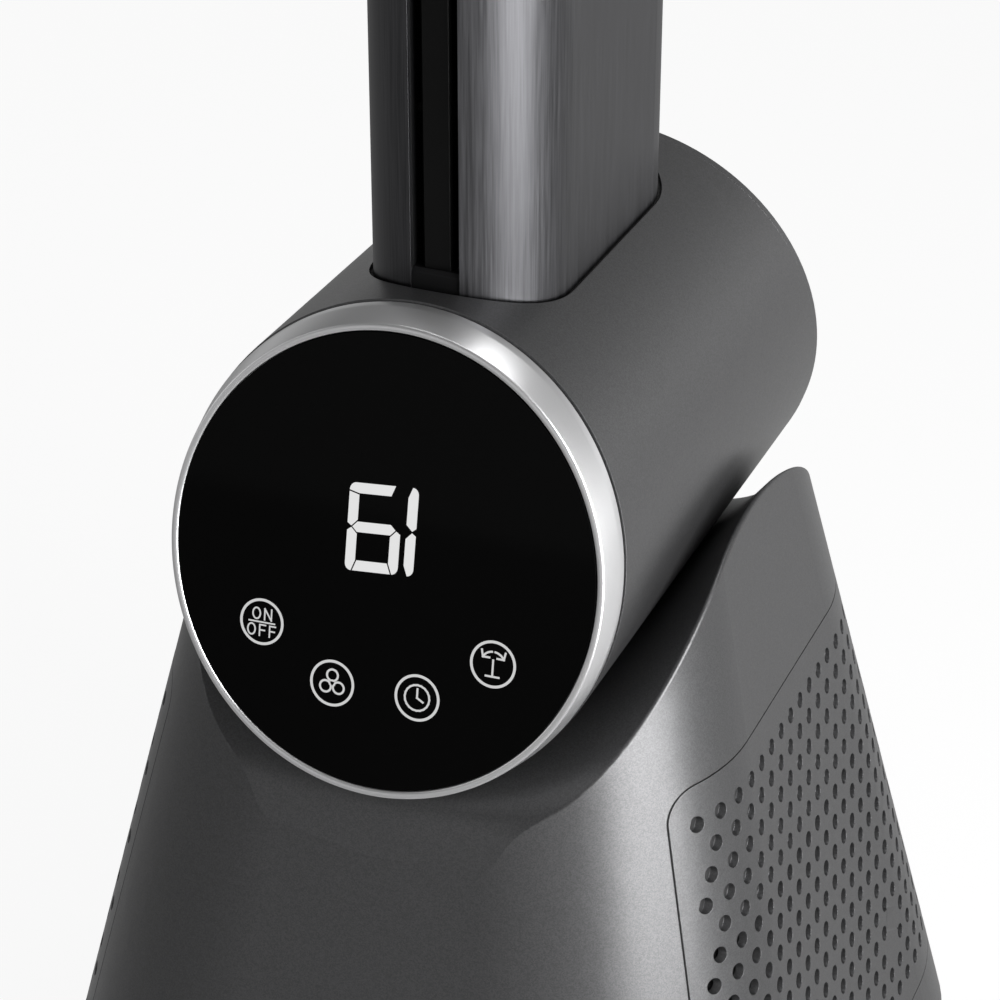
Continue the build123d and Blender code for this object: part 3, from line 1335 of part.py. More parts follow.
# ---------------------------------------------------------------- the parts
def build_all():
    """Every node by name."""
    grille = mirror(make_right_grille(), Plane.YZ)
    dust_filter = make_right_filter()
    return {
        "foot_disc": make_foot_disc(),
        "foot_pads": make_foot_pads(),
        "foot_ballast": make_ballast(),
        "swing_spindle": make_spindle(),
        "spindle_clip": make_spindle_clip(),
        "foot_screws": make_foot_screws(),
        "glide_ring": make_glide_ring(),
        "swing_ring_gear": make_ring_gear(),
        "swing_pinion": make_pinion(),
        "swing_motor_shaft": make_swing_shaft(),
        "swing_motor": make_swing_motor(),
        "chassis_screws": make_chassis_screws(),
        "base_pan": make_base_pan(),
        "pan_screws": make_pan_screws(),
        "base_housing": make_base_housing(),
        "left_grille": grille,
        "right_grille": Rot(0, 0, 180) * grille,
        "left_filter": mirror(dust_filter, Plane.YZ),
        "right_filter": dust_filter,
        "saddle_glide_pads": make_glide_pads(),
        "power_board": make_power_board(),
        "power_inlet": make_power_inlet(),
        "inlet_pins": make_inlet_pins(),
        "inlet_shroud": make_inlet_shroud(),
        "diffuser": make_diffuser(),
        "flange_screws": make_flange_screws(),
        "air_duct": make_air_duct(),
        "motor_can": make_motor_can(),
        "motor_end_cap": make_motor_end_cap(),
        "motor_bearings": make_motor_bearings(),
        "motor_stator": make_motor_stator(),
        "motor_cushion": make_motor_cushion(),
        "motor_retainer": make_motor_retainer(),
        "impeller": make_impeller(),
        "blower_shaft": make_blower_shaft(),
        "motor_rotor": make_motor_rotor(),
        "wheel_nut": make_wheel_nut(),
        "drum_shell": make_drum_shell(),
        "drum_rear_cap": make_rear_cap(),
        "tilt_clamp": make_tilt_clamp(),
        "clamp_screws": make_clamp_screws(),
        "bezel_ring": make_bezel_ring(),
        "bezel_screws": make_bezel_screws(),
        "display_glass": make_display_glass(),
        "glass_gasket": make_glass_gasket(),
        "display_carrier": make_display_carrier(),
        "display_board": make_display_board(),
        "digit_module": make_digit_module(),
        "touch_springs": make_touch_springs(),
        "column_gasket": make_column_gasket(),
        "drum_plenum": make_plenum(),
        "column_screws": make_column_screws(),
        "left_column_skin": make_column_skin(-1),
        "right_column_skin": make_column_skin(1),
        "column_spine": make_column_spine(),
        "column_duct": make_column_duct(),
        "outlet_vane": make_outlet_vane(),
        "slot_foot": make_slot_foot(),
        "slot_head": make_slot_head(),
        "column_cap": make_column_cap(),
    }


def main():
    """Write one file for each node."""
    os.makedirs("parts", exist_ok=True)
    for name, shape in build_all().items():
        export_step(shape, f"parts/{name}.step")


main()
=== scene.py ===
import logging
from dataclasses import dataclass, field
from enum import Enum
from math import cos, hypot, pi, radians, sin, tan
from typing import Iterable, Iterator

import bmesh
import bpy
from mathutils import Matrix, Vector


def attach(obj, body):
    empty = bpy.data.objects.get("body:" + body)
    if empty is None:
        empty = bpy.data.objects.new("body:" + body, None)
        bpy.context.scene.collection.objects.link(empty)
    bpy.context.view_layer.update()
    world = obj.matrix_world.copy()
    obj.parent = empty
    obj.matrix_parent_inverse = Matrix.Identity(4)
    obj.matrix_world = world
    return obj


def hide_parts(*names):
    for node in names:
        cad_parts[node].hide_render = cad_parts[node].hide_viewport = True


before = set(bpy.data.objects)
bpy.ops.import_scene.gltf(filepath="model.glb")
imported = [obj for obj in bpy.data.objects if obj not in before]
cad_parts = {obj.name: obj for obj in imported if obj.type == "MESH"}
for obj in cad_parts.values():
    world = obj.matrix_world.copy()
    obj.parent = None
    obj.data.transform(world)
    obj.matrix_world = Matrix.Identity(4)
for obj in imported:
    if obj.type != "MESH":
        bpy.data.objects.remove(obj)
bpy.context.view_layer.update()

MM = 0.001
LOG = logging.getLogger("tower_fan")

Shader = bpy.types.ShaderNodeTree
Socket = bpy.types.NodeSocket
Point = tuple[float, float]


# ---------------------------------------------------------------- colours and nodes
def linear(hex_colour: str, factor: float = 1.0) -> tuple[float, float, float, float]:
    """Turns an sRGB hex colour into the linear colour that shaders take.

    Args:
        hex_colour: six hex digits after a hash sign.
        factor: makes the linear colour darker or lighter, up to white.

    Returns:
        Red, green, blue and an alpha of one.
    """
    shares = [int(hex_colour[i:i + 2], 16) / 255 for i in (1, 3, 5)]
    light = [s / 12.92 if s <= 0.04045 else ((s + 0.055) / 1.055) ** 2.4 for s in shares]
    red, green, blue = (min(value * factor, 1.0) for value in light)
    return red, green, blue, 1.0


def add_node(tree: Shader, kind: str, inputs: dict | None = None, **settings: object) -> bpy.types.Node:
    """Adds one node with its settings, and fills or links its inputs.

    Args:
        tree: node tree that gets the node.
        kind: Blender's name of the node's type.
        inputs: value or output socket for each input, by name or number.
        settings: properties of the node itself.

    Returns:
        The new node.
    """
    node = tree.nodes.new(kind)
    for name, value in settings.items():
        setattr(node, name, value)
    for name, value in (inputs or {}).items():
        if isinstance(value, bpy.types.NodeSocket):
            tree.links.new(value, node.inputs[name])
        else:
            node.inputs[name].default_value = value
    return node


def sized(place: Socket, size_mm: float, detail: float = 2.0) -> dict[str, object]:
    """Inputs of a noise texture whose features are the given number of millimetres wide."""
    return {"Vector": place, "Scale": 1.0 / (size_mm * MM), "Detail": detail}


# ---------------------------------------------------------------- finishes
class Axis(Enum):
    """Direction in which scratches, fibres or tool marks run."""

    X = 0
    Y = 1
    Z = 2

    def drawn(self, ratio: float) -> tuple[float, float, float]:
        """Coordinate scale at which a pattern is drawn out along this direction."""
        scale = [1.0, 1.0, 1.0]
        scale[self.value] = 1.0 / ratio
        return scale[0], scale[1], scale[2]


@dataclass(frozen=True)
class Finish:
    """A surface finish that turns itself into one material.

    Attributes:
        title: common name of the real material and how its surface was made.
        colour: sRGB hex colour.
        roughness: microscopic roughness of the shader.
        metallic: one for bare metal.
        ior: refractive index; a metal keeps the default.
        specular: specular level of the shader.
        edge_mm: radius of the soft edge that the light sees where faces meet.
    """

    title: str
    colour: str
    roughness: float = 0.5
    metallic: float = 0.0
    ior: float = 1.5
    specular: float = 0.5
    edge_mm: float = 0.3

    def constants(self) -> dict[str, object]:
        """Values that are the same all over the surface, by shader socket."""
        return {
            "Base Color": linear(self.colour),
            "Roughness": self.roughness,
            "Metallic": self.metallic,
            "IOR": self.ior,
            "Specular IOR Level": self.specular,
        }

    def pattern(self, tree: Shader, place: Socket, edge: Socket) -> dict[str, Socket]:
        """Sockets of the surface's pattern; a plain finish has its soft edges only.

        Args:
            tree: node tree of the material.
            place: coordinates in the shared frame, in metres.
            edge: normal with soft edges, for the bump to start from.

        Returns:
            The output socket for each shader input that the pattern drives.
        """
        return {"Normal": edge}

    def material(self) -> bpy.types.Material:
        """Makes the material, or finds it where it was made before.

        Returns:
            The material named after the finish.
        """
        name = self.title.replace(" ", "_").replace(",", "")
        known = bpy.data.materials.get(name)
        if known is not None:
            return known
        made = bpy.data.materials.new(name)
        made.use_nodes = True
        tree = made.node_tree
        tree.nodes.clear()
        place = add_node(tree, "ShaderNodeTexCoord").outputs["Object"]
        edge = add_node(tree, "ShaderNodeBevel", {"Radius": self.edge_mm * MM}, samples=6).outputs[0]
        values = {**self.constants(), **self.pattern(tree, place, edge)}
        shader = add_node(tree, "ShaderNodeBsdfPrincipled", values)
        add_node(tree, "ShaderNodeOutputMaterial", {"Surface": shader.outputs["BSDF"]})
        return made

    def shades(self, dark: float, light: float) -> dict[int, tuple[float, float, float, float]]:
        """The two ends of a colour mix, as a darker and a lighter shade of the finish."""
        return {6: linear(self.colour, dark), 7: linear(self.colour, light)}

    def spread(self, reach: float) -> dict[str, float]:
        """The two ends of a roughness that varies round the finish's own."""
        return {"To Min": self.roughness - reach, "To Max": self.roughness + reach}


@dataclass(frozen=True)
class MouldedPlastic(Finish):
    """Injection moulded ABS or PP with the fine spark texture of its mould."""

    grain_mm: float = 0.6
    grain_depth_mm: float = 0.02
    cloud_mm: float = 24.0
    contrast: float = 0.1
    roughness_spread: float = 0.04

    def pattern(self, tree: Shader, place: Socket, edge: Socket) -> dict[str, Socket]:
        """Spark grain that breaks up the sheen, with a faint large cloudiness."""
        grain = add_node(tree, "ShaderNodeTexNoise", sized(place, self.grain_mm, 3.0)).outputs["Fac"]
        cloud = add_node(tree, "ShaderNodeTexNoise", sized(place, self.cloud_mm, 1.0)).outputs["Fac"]
        tones = {"Factor": cloud, **self.shades(1.0 - self.contrast, 1.0 + self.contrast)}
        dull = {"Value": grain, **self.spread(self.roughness_spread)}
        relief = {"Height": grain, "Distance": self.grain_depth_mm * MM, "Normal": edge}
        return {
            "Base Color": add_node(tree, "ShaderNodeMix", tones, data_type="RGBA").outputs[2],
            "Roughness": add_node(tree, "ShaderNodeMapRange", dull).outputs[0],
            "Normal": add_node(tree, "ShaderNodeBump", relief).outputs[0],
        }


@dataclass(frozen=True)
class MetallicPaint(Finish):
    """Sprayed paint with fine aluminium flakes under a satin lacquer."""

    flake_mm: float = 0.35
    flake_contrast: float = 0.18
    peel_mm: float = 2.2
    peel_depth_mm: float = 0.004
    lacquer: float = 0.25
    lacquer_roughness: float = 0.3
    roughness_spread: float = 0.03

    def constants(self) -> dict[str, object]:
        """Paint values with the lacquer as a coat."""
        return {
            **super().constants(),
            "Coat Weight": self.lacquer,
            "Coat Roughness": self.lacquer_roughness,
        }

    def pattern(self, tree: Shader, place: Socket, edge: Socket) -> dict[str, Socket]:
        """Flakes as cells of slightly different brightness, over a faint orange peel.

        Real flakes are 0.02 to 0.05 mm across, so they are drawn coarser to show at all.
        """
        cells = {"Vector": place, "Scale": 1.0 / (self.flake_mm * MM)}
        flakes = add_node(tree, "ShaderNodeTexVoronoi", cells)
        shine = add_node(tree, "ShaderNodeSeparateColor", {"Color": flakes.outputs["Color"]})
        peel = add_node(tree, "ShaderNodeTexNoise", sized(place, self.peel_mm, 1.0)).outputs["Fac"]
        tones = {
            "Factor": shine.outputs["Red"],
            **self.shades(1.0 - self.flake_contrast, 1.0 + self.flake_contrast),
        }
        dull = {"Value": shine.outputs["Green"], **self.spread(self.roughness_spread)}
        relief = {"Height": peel, "Distance": self.peel_depth_mm * MM, "Normal": edge}
        return {
            "Base Color": add_node(tree, "ShaderNodeMix", tones, data_type="RGBA").outputs[2],
            "Roughness": add_node(tree, "ShaderNodeMapRange", dull).outputs[0],
            "Normal": add_node(tree, "ShaderNodeBump", relief).outputs[0],
        }


@dataclass(frozen=True)
class BrushedMetal(Finish):
    """Sheet metal brushed in one direction, bare or anodised."""

    grain: Axis = Axis.Z
    scratch_mm: float = 0.42
    scratch_ratio: float = 45.0
    scratch_depth_mm: float = 0.004
    streak_mm: float = 1.0
    streak_from: float = 0.7
    streak_to: float = 1.3
    contrast: float = 0.25
    roughness_spread: float = 0.05
    anisotropy: float = 0.35
    turn: float = 0.0

    def constants(self) -> dict[str, object]:
        """Metal values with the stretched highlight of a brushed surface."""
        return {
            **super().constants(),
            "Anisotropic": self.anisotropy,
            "Anisotropic Rotation": self.turn,
        }

    def pattern(self, tree: Shader, place: Socket, edge: Socket) -> dict[str, Socket]:
        """Long scratches, with broader streaks that come and go between them.

        Real scratches are about 0.05 mm wide, so they are drawn coarser to show at all.
        """
        scale = {"Vector": place, "Scale": self.grain.drawn(self.scratch_ratio)}
        drawn = add_node(tree, "ShaderNodeMapping", scale).outputs["Vector"]
        fine = add_node(tree, "ShaderNodeTexNoise", sized(drawn, self.scratch_mm, 3.0)).outputs["Fac"]
        broad = add_node(tree, "ShaderNodeTexNoise", sized(drawn, self.streak_mm, 2.0)).outputs["Fac"]
        both = add_node(tree, "ShaderNodeMath", {0: fine, 1: broad}, operation="ADD").outputs[0]
        ends = {"Value": both, "From Min": self.streak_from, "From Max": self.streak_to}
        share = add_node(tree, "ShaderNodeMapRange", ends).outputs[0]
        tones = {"Factor": share, **self.shades(1.0 - self.contrast, 1.0 + self.contrast)}
        dull = {"Value": share, **self.spread(self.roughness_spread)}
        relief = {"Height": fine, "Distance": self.scratch_depth_mm * MM, "Normal": edge}
        tangent = add_node(tree, "ShaderNodeTangent", direction_type="RADIAL", axis=self.grain.name)
        return {
            "Base Color": add_node(tree, "ShaderNodeMix", tones, data_type="RGBA").outputs[2],
            "Roughness": add_node(tree, "ShaderNodeMapRange", dull).outputs[0],
            "Normal": add_node(tree, "ShaderNodeBump", relief).outputs[0],
            "Tangent": tangent.outputs["Tangent"],
        }


@dataclass(frozen=True)
class BlastedMetal(Finish):
    """Metal trim blasted to an even satin and clear anodised."""

    grain_mm: float = 0.4
    grain_depth_mm: float = 0.0008
    handling_mm: float = 30.0
    contrast: float = 0.02
    roughness_spread: float = 0.01

    def pattern(self, tree: Shader, place: Socket, edge: Socket) -> dict[str, Socket]:
        """An even fine grain, with a sheen that drifts very slightly from handling."""
        grain = add_node(tree, "ShaderNodeTexNoise", sized(place, self.grain_mm, 1.0)).outputs["Fac"]
        touch = add_node(tree, "ShaderNodeTexNoise", sized(place, self.handling_mm, 1.0)).outputs["Fac"]
        tones = {"Factor": grain, **self.shades(1.0 - self.contrast, 1.0 + self.contrast)}
        dull = {"Value": touch, **self.spread(self.roughness_spread)}
        relief = {"Height": grain, "Distance": self.grain_depth_mm * MM, "Normal": edge}
        return {
            "Base Color": add_node(tree, "ShaderNodeMix", tones, data_type="RGBA").outputs[2],
            "Roughness": add_node(tree, "ShaderNodeMapRange", dull).outputs[0],
            "Normal": add_node(tree, "ShaderNodeBump", relief).outputs[0],
        }


@dataclass(frozen=True)
class MachinedMetal(Finish):
    """Turned, pressed or plated steel with faint tool marks."""

    mark_mm: float = 0.5
    mark_ratio: float = 6.0
    mark_depth_mm: float = 0.006
    patch_mm: float = 7.0
    patch_shades: Point = (0.85, 1.12)
    roughness_spread: float = 0.08

    def pattern(self, tree: Shader, place: Socket, edge: Socket) -> dict[str, Socket]:
        """Fine marks across the piece and a patchy sheen."""
        scale = {"Vector": place, "Scale": Axis.X.drawn(self.mark_ratio)}
        drawn = add_node(tree, "ShaderNodeMapping", scale).outputs["Vector"]
        marks = add_node(tree, "ShaderNodeTexNoise", sized(drawn, self.mark_mm)).outputs["Fac"]
        patches = add_node(tree, "ShaderNodeTexNoise", sized(place, self.patch_mm)).outputs["Fac"]
        tones = {"Factor": patches, **self.shades(*self.patch_shades)}
        dull = {"Value": patches, **self.spread(self.roughness_spread)}
        relief = {"Height": marks, "Distance": self.mark_depth_mm * MM, "Normal": edge}
        return {
            "Base Color": add_node(tree, "ShaderNodeMix", tones, data_type="RGBA").outputs[2],
            "Roughness": add_node(tree, "ShaderNodeMapRange", dull).outputs[0],
            "Normal": add_node(tree, "ShaderNodeBump", relief).outputs[0],
        }


@dataclass(frozen=True)
class Rubber(Finish):
    """Moulded nitrile or silicone rubber, matte with a dusty bloom."""

    bloom_mm: float = 3.0
    bloom_shades: Point = (0.8, 1.5)
    grain_mm: float = 0.5
    grain_depth_mm: float = 0.02

    def pattern(self, tree: Shader, place: Socket, edge: Socket) -> dict[str, Socket]:
        """Bloom that lightens the surface in patches, over a fine matte grain."""
        bloom = add_node(tree, "ShaderNodeTexNoise", sized(place, self.bloom_mm, 4.0)).outputs["Fac"]
        grain = add_node(tree, "ShaderNodeTexNoise", sized(place, self.grain_mm)).outputs["Fac"]
        tones = {"Factor": bloom, **self.shades(*self.bloom_shades)}
        relief = {"Height": grain, "Distance": self.grain_depth_mm * MM, "Normal": edge}
        return {
            "Base Color": add_node(tree, "ShaderNodeMix", tones, data_type="RGBA").outputs[2],
            "Normal": add_node(tree, "ShaderNodeBump", relief).outputs[0],
        }


@dataclass(frozen=True)
class FilterFleece(Finish):
    """Non-woven polyester fleece of tangled fibres."""

    fibre_mm: float = 0.7
    fibre_ratio: float = 7.0
    # Ends of the painted shading: darker between the fibres, lighter on the raised ones.
    fibre_painted_shading: Point = (0.5, 1.5)
    loft_mm: float = 0.35
    sheen: float = 0.3
    sheen_roughness: float = 0.6

    def constants(self) -> dict[str, object]:
        """Fleece values with the soft sheen of loose fibres."""
        return {
            **super().constants(),
            "Sheen Weight": self.sheen,
            "Sheen Roughness": self.sheen_roughness,
        }

    def pattern(self, tree: Shader, place: Socket, edge: Socket) -> dict[str, Socket]:
        """Fibres that cross at random, drawn coarser than real so that they show. The colour follows
        the relief: lighter on the raised fibres and darker between them, as painted shade in the gaps.
        """
        layers = []
        for run in (Axis.Y, Axis.Z):
            scale = {"Vector": place, "Scale": run.drawn(self.fibre_ratio)}
            drawn = add_node(tree, "ShaderNodeMapping", scale).outputs["Vector"]
            fibres = add_node(tree, "ShaderNodeTexNoise", sized(drawn, self.fibre_mm, 3.0))
            layers.append(fibres.outputs["Fac"])
        crossed = {0: layers[0], 1: layers[1]}
        tangle = add_node(tree, "ShaderNodeMath", crossed, operation="MAXIMUM").outputs[0]
        # Painted shade: the colour darkens where the relief sinks between fibres.
        tones = {"Factor": tangle, **self.shades(*self.fibre_painted_shading)}
        relief = {"Height": tangle, "Distance": self.loft_mm * MM, "Normal": edge}
        return {
            "Base Color": add_node(tree, "ShaderNodeMix", tones, data_type="RGBA").outputs[2],
            "Normal": add_node(tree, "ShaderNodeBump", relief).outputs[0],
        }


@dataclass(frozen=True)
class CircuitBoard(Finish):
    """Glass-fibre board with copper tracks under a green lacquer."""

    track_mm: float = 2.4
    track_colours: tuple[str, str] = ("#2F8A4E", "#1B5E33")
    track_height_mm: float = 0.03
    track_gap: float = 0.12
    track_run: float = 2.5
    track_row: float = 0.5

    def pattern(self, tree: Shader, place: Socket, edge: Socket) -> dict[str, Socket]:
        """Tracks as a grid of short runs, a little lighter and proud of the board."""
        light, dark = self.track_colours
        sizes = {
            "Vector": place,
            "Scale": 1.0 / (self.track_mm * MM),
            "Color1": linear(light),
            "Color2": linear(dark),
            "Mortar": linear(self.colour),
            "Mortar Size": self.track_gap,
            "Brick Width": self.track_run,
            "Row Height": self.track_row,
        }
        tracks = add_node(tree, "ShaderNodeTexBrick", sizes)
        height = tracks.outputs["Fac"]
        relief = {"Height": height, "Distance": self.track_height_mm * MM, "Normal": edge}
        return {
            "Base Color": tracks.outputs["Color"],
            "Normal": add_node(tree, "ShaderNodeBump", relief).outputs[0],
        }


@dataclass(frozen=True)
class Winding(Finish):
    """Enamelled copper wire laid in turns."""

    wire_mm: float = 0.9
    wire_relief_mm: float = 0.2
    # Ends of the painted shading: darker in the grooves between wires, lighter on their crowns.
    wire_painted_shading: Point = (0.55, 1.25)
    waver: float = 0.4

    def pattern(self, tree: Shader, place: Socket, edge: Socket) -> dict[str, Socket]:
        """Rows of round wires across the coil; one wave of the texture is a wire wide. The colour
        follows the relief: lighter on each wire's crown and darker in the grooves between wires, as
        painted highlight and shade.
        """
        waves = {
            "Vector": place,
            "Scale": 1.0 / (self.wire_mm * MM * 2 * pi),
            "Distortion": self.waver,
        }
        rows = add_node(tree, "ShaderNodeTexWave", waves, bands_direction="Z").outputs["Fac"]
        # Painted shade and highlight: the colour follows the relief of each wire.
        tones = {"Factor": rows, **self.shades(*self.wire_painted_shading)}
        relief = {"Height": rows, "Distance": self.wire_relief_mm * MM, "Normal": edge}
        return {
            "Base Color": add_node(tree, "ShaderNodeMix", tones, data_type="RGBA").outputs[2],
            "Normal": add_node(tree, "ShaderNodeBump", relief).outputs[0],
        }


@dataclass(frozen=True)
class TouchGlass(Finish):
    """Black-backed float glass, polished, with a trace of wipe marks."""

    wipe_mm: float = 9.0
    wipe_ratio: float = 5.0
    roughness_spread: float = 0.015

    def pattern(self, tree: Shader, place: Socket, edge: Socket) -> dict[str, Socket]:
        """Wipe marks that dull the gloss very slightly."""
        scale = {"Vector": place, "Scale": Axis.X.drawn(self.wipe_ratio)}
        drawn = add_node(tree, "ShaderNodeMapping", scale).outputs["Vector"]
        wipes = add_node(tree, "ShaderNodeTexNoise", sized(drawn, self.wipe_mm, 4.0)).outputs["Fac"]
        dull = {"Value": wipes, **self.spread(self.roughness_spread)}
        return {
            "Roughness": add_node(tree, "ShaderNodeMapRange", dull).outputs[0],
            "Normal": edge,
        }


@dataclass(frozen=True)
class LitMark(Finish):
    """Printed or diffused mark that is lit from behind, with a dark diffuser under it."""

    glow: float = 1.0
    cloud_mm: float = 2.0
    diffuser_shades: Point = (0.02, 0.05)

    def constants(self) -> dict[str, object]:
        """The mark's own light, which gives it its colour."""
        return {
            **super().constants(),
            "Emission Color": linear(self.colour),
            "Emission Strength": self.glow,
        }

    def pattern(self, tree: Shader, place: Socket, edge: Socket) -> dict[str, Socket]:
        """Faint unevenness of the diffuser."""
        cloud = add_node(tree, "ShaderNodeTexNoise", sized(place, self.cloud_mm)).outputs["Fac"]
        tones = {"Factor": cloud, **self.shades(*self.diffuser_shades)}
        return {"Base Color": add_node(tree, "ShaderNodeMix", tones, data_type="RGBA").outputs[2]}


# Satin gunmetal lacquer over ABS: the flakes give a soft bright band where the form turns.
PAINT = MetallicPaint("gunmetal metallic paint, satin lacquer", "#4F4F50", roughness=0.4, metallic=0.8)
# Dark anodised aluminium, brushed upright: upright streaks under one soft upright highlight.
COLUMN_METAL = BrushedMetal(
    "aluminium, brushed and dark anodised", "#4B4B4D", roughness=0.4, metallic=1.0,
)
# Clear anodised aluminium, slightly milky: an even pale satin that turns bright towards the lamp.
RING_METAL = BlastedMetal(
    "aluminium, blasted and clear anodised", "#D6D6D7", roughness=0.3, metallic=0.9,
)
# Tinted glass over black print: the low specular level dims its reflections, a painted shade that
# stands in for dark surroundings in front of the glass.
GLASS_WITH_DIMMED_REFLECTION = TouchGlass("float glass, black backed", "#040404", roughness=0.05, specular=0.04)
# Light through a white diffuser: flat, bright and without gloss.
SEGMENT = LitMark("diffused light segment", "#DEDEDE", roughness=0.8, specular=0.1)
PRINT = LitMark("white ceramic print, back lit", "#C9C9C9", roughness=0.8, specular=0.1)
# Black ABS polished in the mould: near black, with a thin reflection along its edges.
GLOSS_BLACK = MouldedPlastic(
    "ABS, high gloss black", "#060606", roughness=0.16, specular=0.16,
    grain_mm=6.0, grain_depth_mm=0.002,
)
# Near-black ABS of the slot: the colour is partly the plastic's own and partly painted shade of the
# deep slot, so that the slot reads as a dark gap.
SLOT_BLACK_AND_PAINTED_SHADE = MouldedPlastic("ABS, moulded matte black", "#070708", roughness=0.55, specular=0.2)
BLACK_PLASTIC = MouldedPlastic("ABS, moulded black", "#151516", roughness=0.5)
DARK_PLASTIC = MouldedPlastic("polypropylene, moulded dark grey", "#2C2C2E", roughness=0.55, ior=1.49)
GREY_PLASTIC = MouldedPlastic("polyamide, glass filled grey", "#6B6B6D", roughness=0.5, ior=1.53)
WHITE_PLASTIC = MouldedPlastic("acetal, natural white", "#DAD8D2", roughness=0.35, ior=1.48)
RUBBER = Rubber("nitrile rubber, moulded", "#131313", roughness=0.85)
FLEECE = FilterFleece("polyester fleece, non-woven", "#202021", roughness=0.95)
STEEL = MachinedMetal("carbon steel, turned", "#9A9B9D", roughness=0.32, metallic=1.0)
ZINC = MachinedMetal("steel, zinc plated", "#8D8F92", roughness=0.36, metallic=1.0)
SPRING_STEEL = MachinedMetal("spring steel, drawn", "#7C7E82", roughness=0.4, metallic=1.0)
SHEET_STEEL = MachinedMetal("sheet steel, pressed", "#85878A", roughness=0.42, metallic=1.0)
MAGNET = MachinedMetal("bonded ferrite magnet", "#3A3A3C", roughness=0.6, metallic=0.4)
BRASS = MachinedMetal("brass, nickel plated", "#B9A97E", roughness=0.28, metallic=1.0)
BOARD = CircuitBoard("glass fibre board, green lacquer", "#14462A", roughness=0.35)
COPPER = Winding("copper wire, enamelled", "#B0622F", roughness=0.35, metallic=0.8)


# ---------------------------------------------------------------- mesh helpers
def mesh_piece(
    name: str, mesh: bmesh.types.BMesh, finish: Finish, body: str,
) -> bpy.types.Object:
    """Turns a mesh into a piece that rides on a body.

    Args:
        name: name of the piece.
        mesh: its faces, in metres in the shared frame; it is freed here.
        finish: surface finish of the whole piece.
        body: CAD body that it rides on.

    Returns:
        The new object.
    """
    bmesh.ops.recalc_face_normals(mesh, faces=mesh.faces)
    data = bpy.data.meshes.new(name)
    mesh.to_mesh(data)
    mesh.free()
    data.materials.append(finish.material())
    piece = bpy.data.objects.new(name, data)
    bpy.context.scene.collection.objects.link(piece)
    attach(piece, body)
    LOG.info("piece %s on %s with %d faces", name, body, len(data.polygons))
    return piece


def smooth_by_angle(piece: bpy.types.Object, degrees: float) -> None:
    """Shades a piece smooth and keeps edges sharper than the angle."""
    piece.data.shade_smooth()
    piece.data.set_sharp_from_angle(angle=radians(degrees))


# ---------------------------------------------------------------- display marks
@dataclass
class DisplayFace:
    """The leaning plane of the touch glass, with places given across and up on it."""

    centre: Vector = field(default_factory=lambda: Vector((0.0, -98.0, 268.0)))
    lean: float = radians(14.7)
    recess: float = 0.4

    def place(self, across: float, up: float, lift: float = 0.0) -> Vector:
        """A point on or over the glass, in metres.

        Args:
            across: millimetres to the right of the middle.
            up: millimetres up the glass from the middle.
            lift: millimetres in front of the glass.

        Returns:
            The point in the shared frame.
        """
        rise = Vector((0.0, sin(self.lean), cos(self.lean)))
        out = Vector((0.0, -cos(self.lean), sin(self.lean)))
        base = self.centre + Vector((0.0, self.recess, 0.0))
        return (base + Vector((across, 0.0, 0.0)) + rise * up + out * lift) * MM

    def slab(self, mesh: bmesh.types.BMesh, outline: list[Point], lift: float, thick: float) -> None:
        """Adds a thin plate with the given outline over the glass."""
        low = [mesh.verts.new(self.place(x, v, lift)) for x, v in outline]
        high = [mesh.verts.new(self.place(x, v, lift + thick)) for x, v in outline]
        mesh.faces.new(high)
        mesh.faces.new(list(reversed(low)))
        for i, corner in enumerate(low):
            after = (i + 1) % len(low)
            mesh.faces.new((corner, low[after], high[after], high[i]))

    def ring(self, mesh: bmesh.types.BMesh, middle: Point, radius: float, width: float, lift: float,
             thick: float, steps: int = 64) -> None:
        """Adds a thin flat ring over the glass."""
        loops = []
        for r, up in ((radius - width / 2, lift), (radius + width / 2, lift),
                      (radius + width / 2, lift + thick), (radius - width / 2, lift + thick)):
            turns = [2 * pi * k / steps for k in range(steps)]
            spots = [(middle[0] + r * cos(a), middle[1] + r * sin(a)) for a in turns]
            loops.append([mesh.verts.new(self.place(x, v, up)) for x, v in spots])
        for one, two in zip(loops, loops[1:] + loops[:1]):
            for k in range(steps):
                after = (k + 1) % steps
                mesh.faces.new((one[k], one[after], two[after], two[k]))


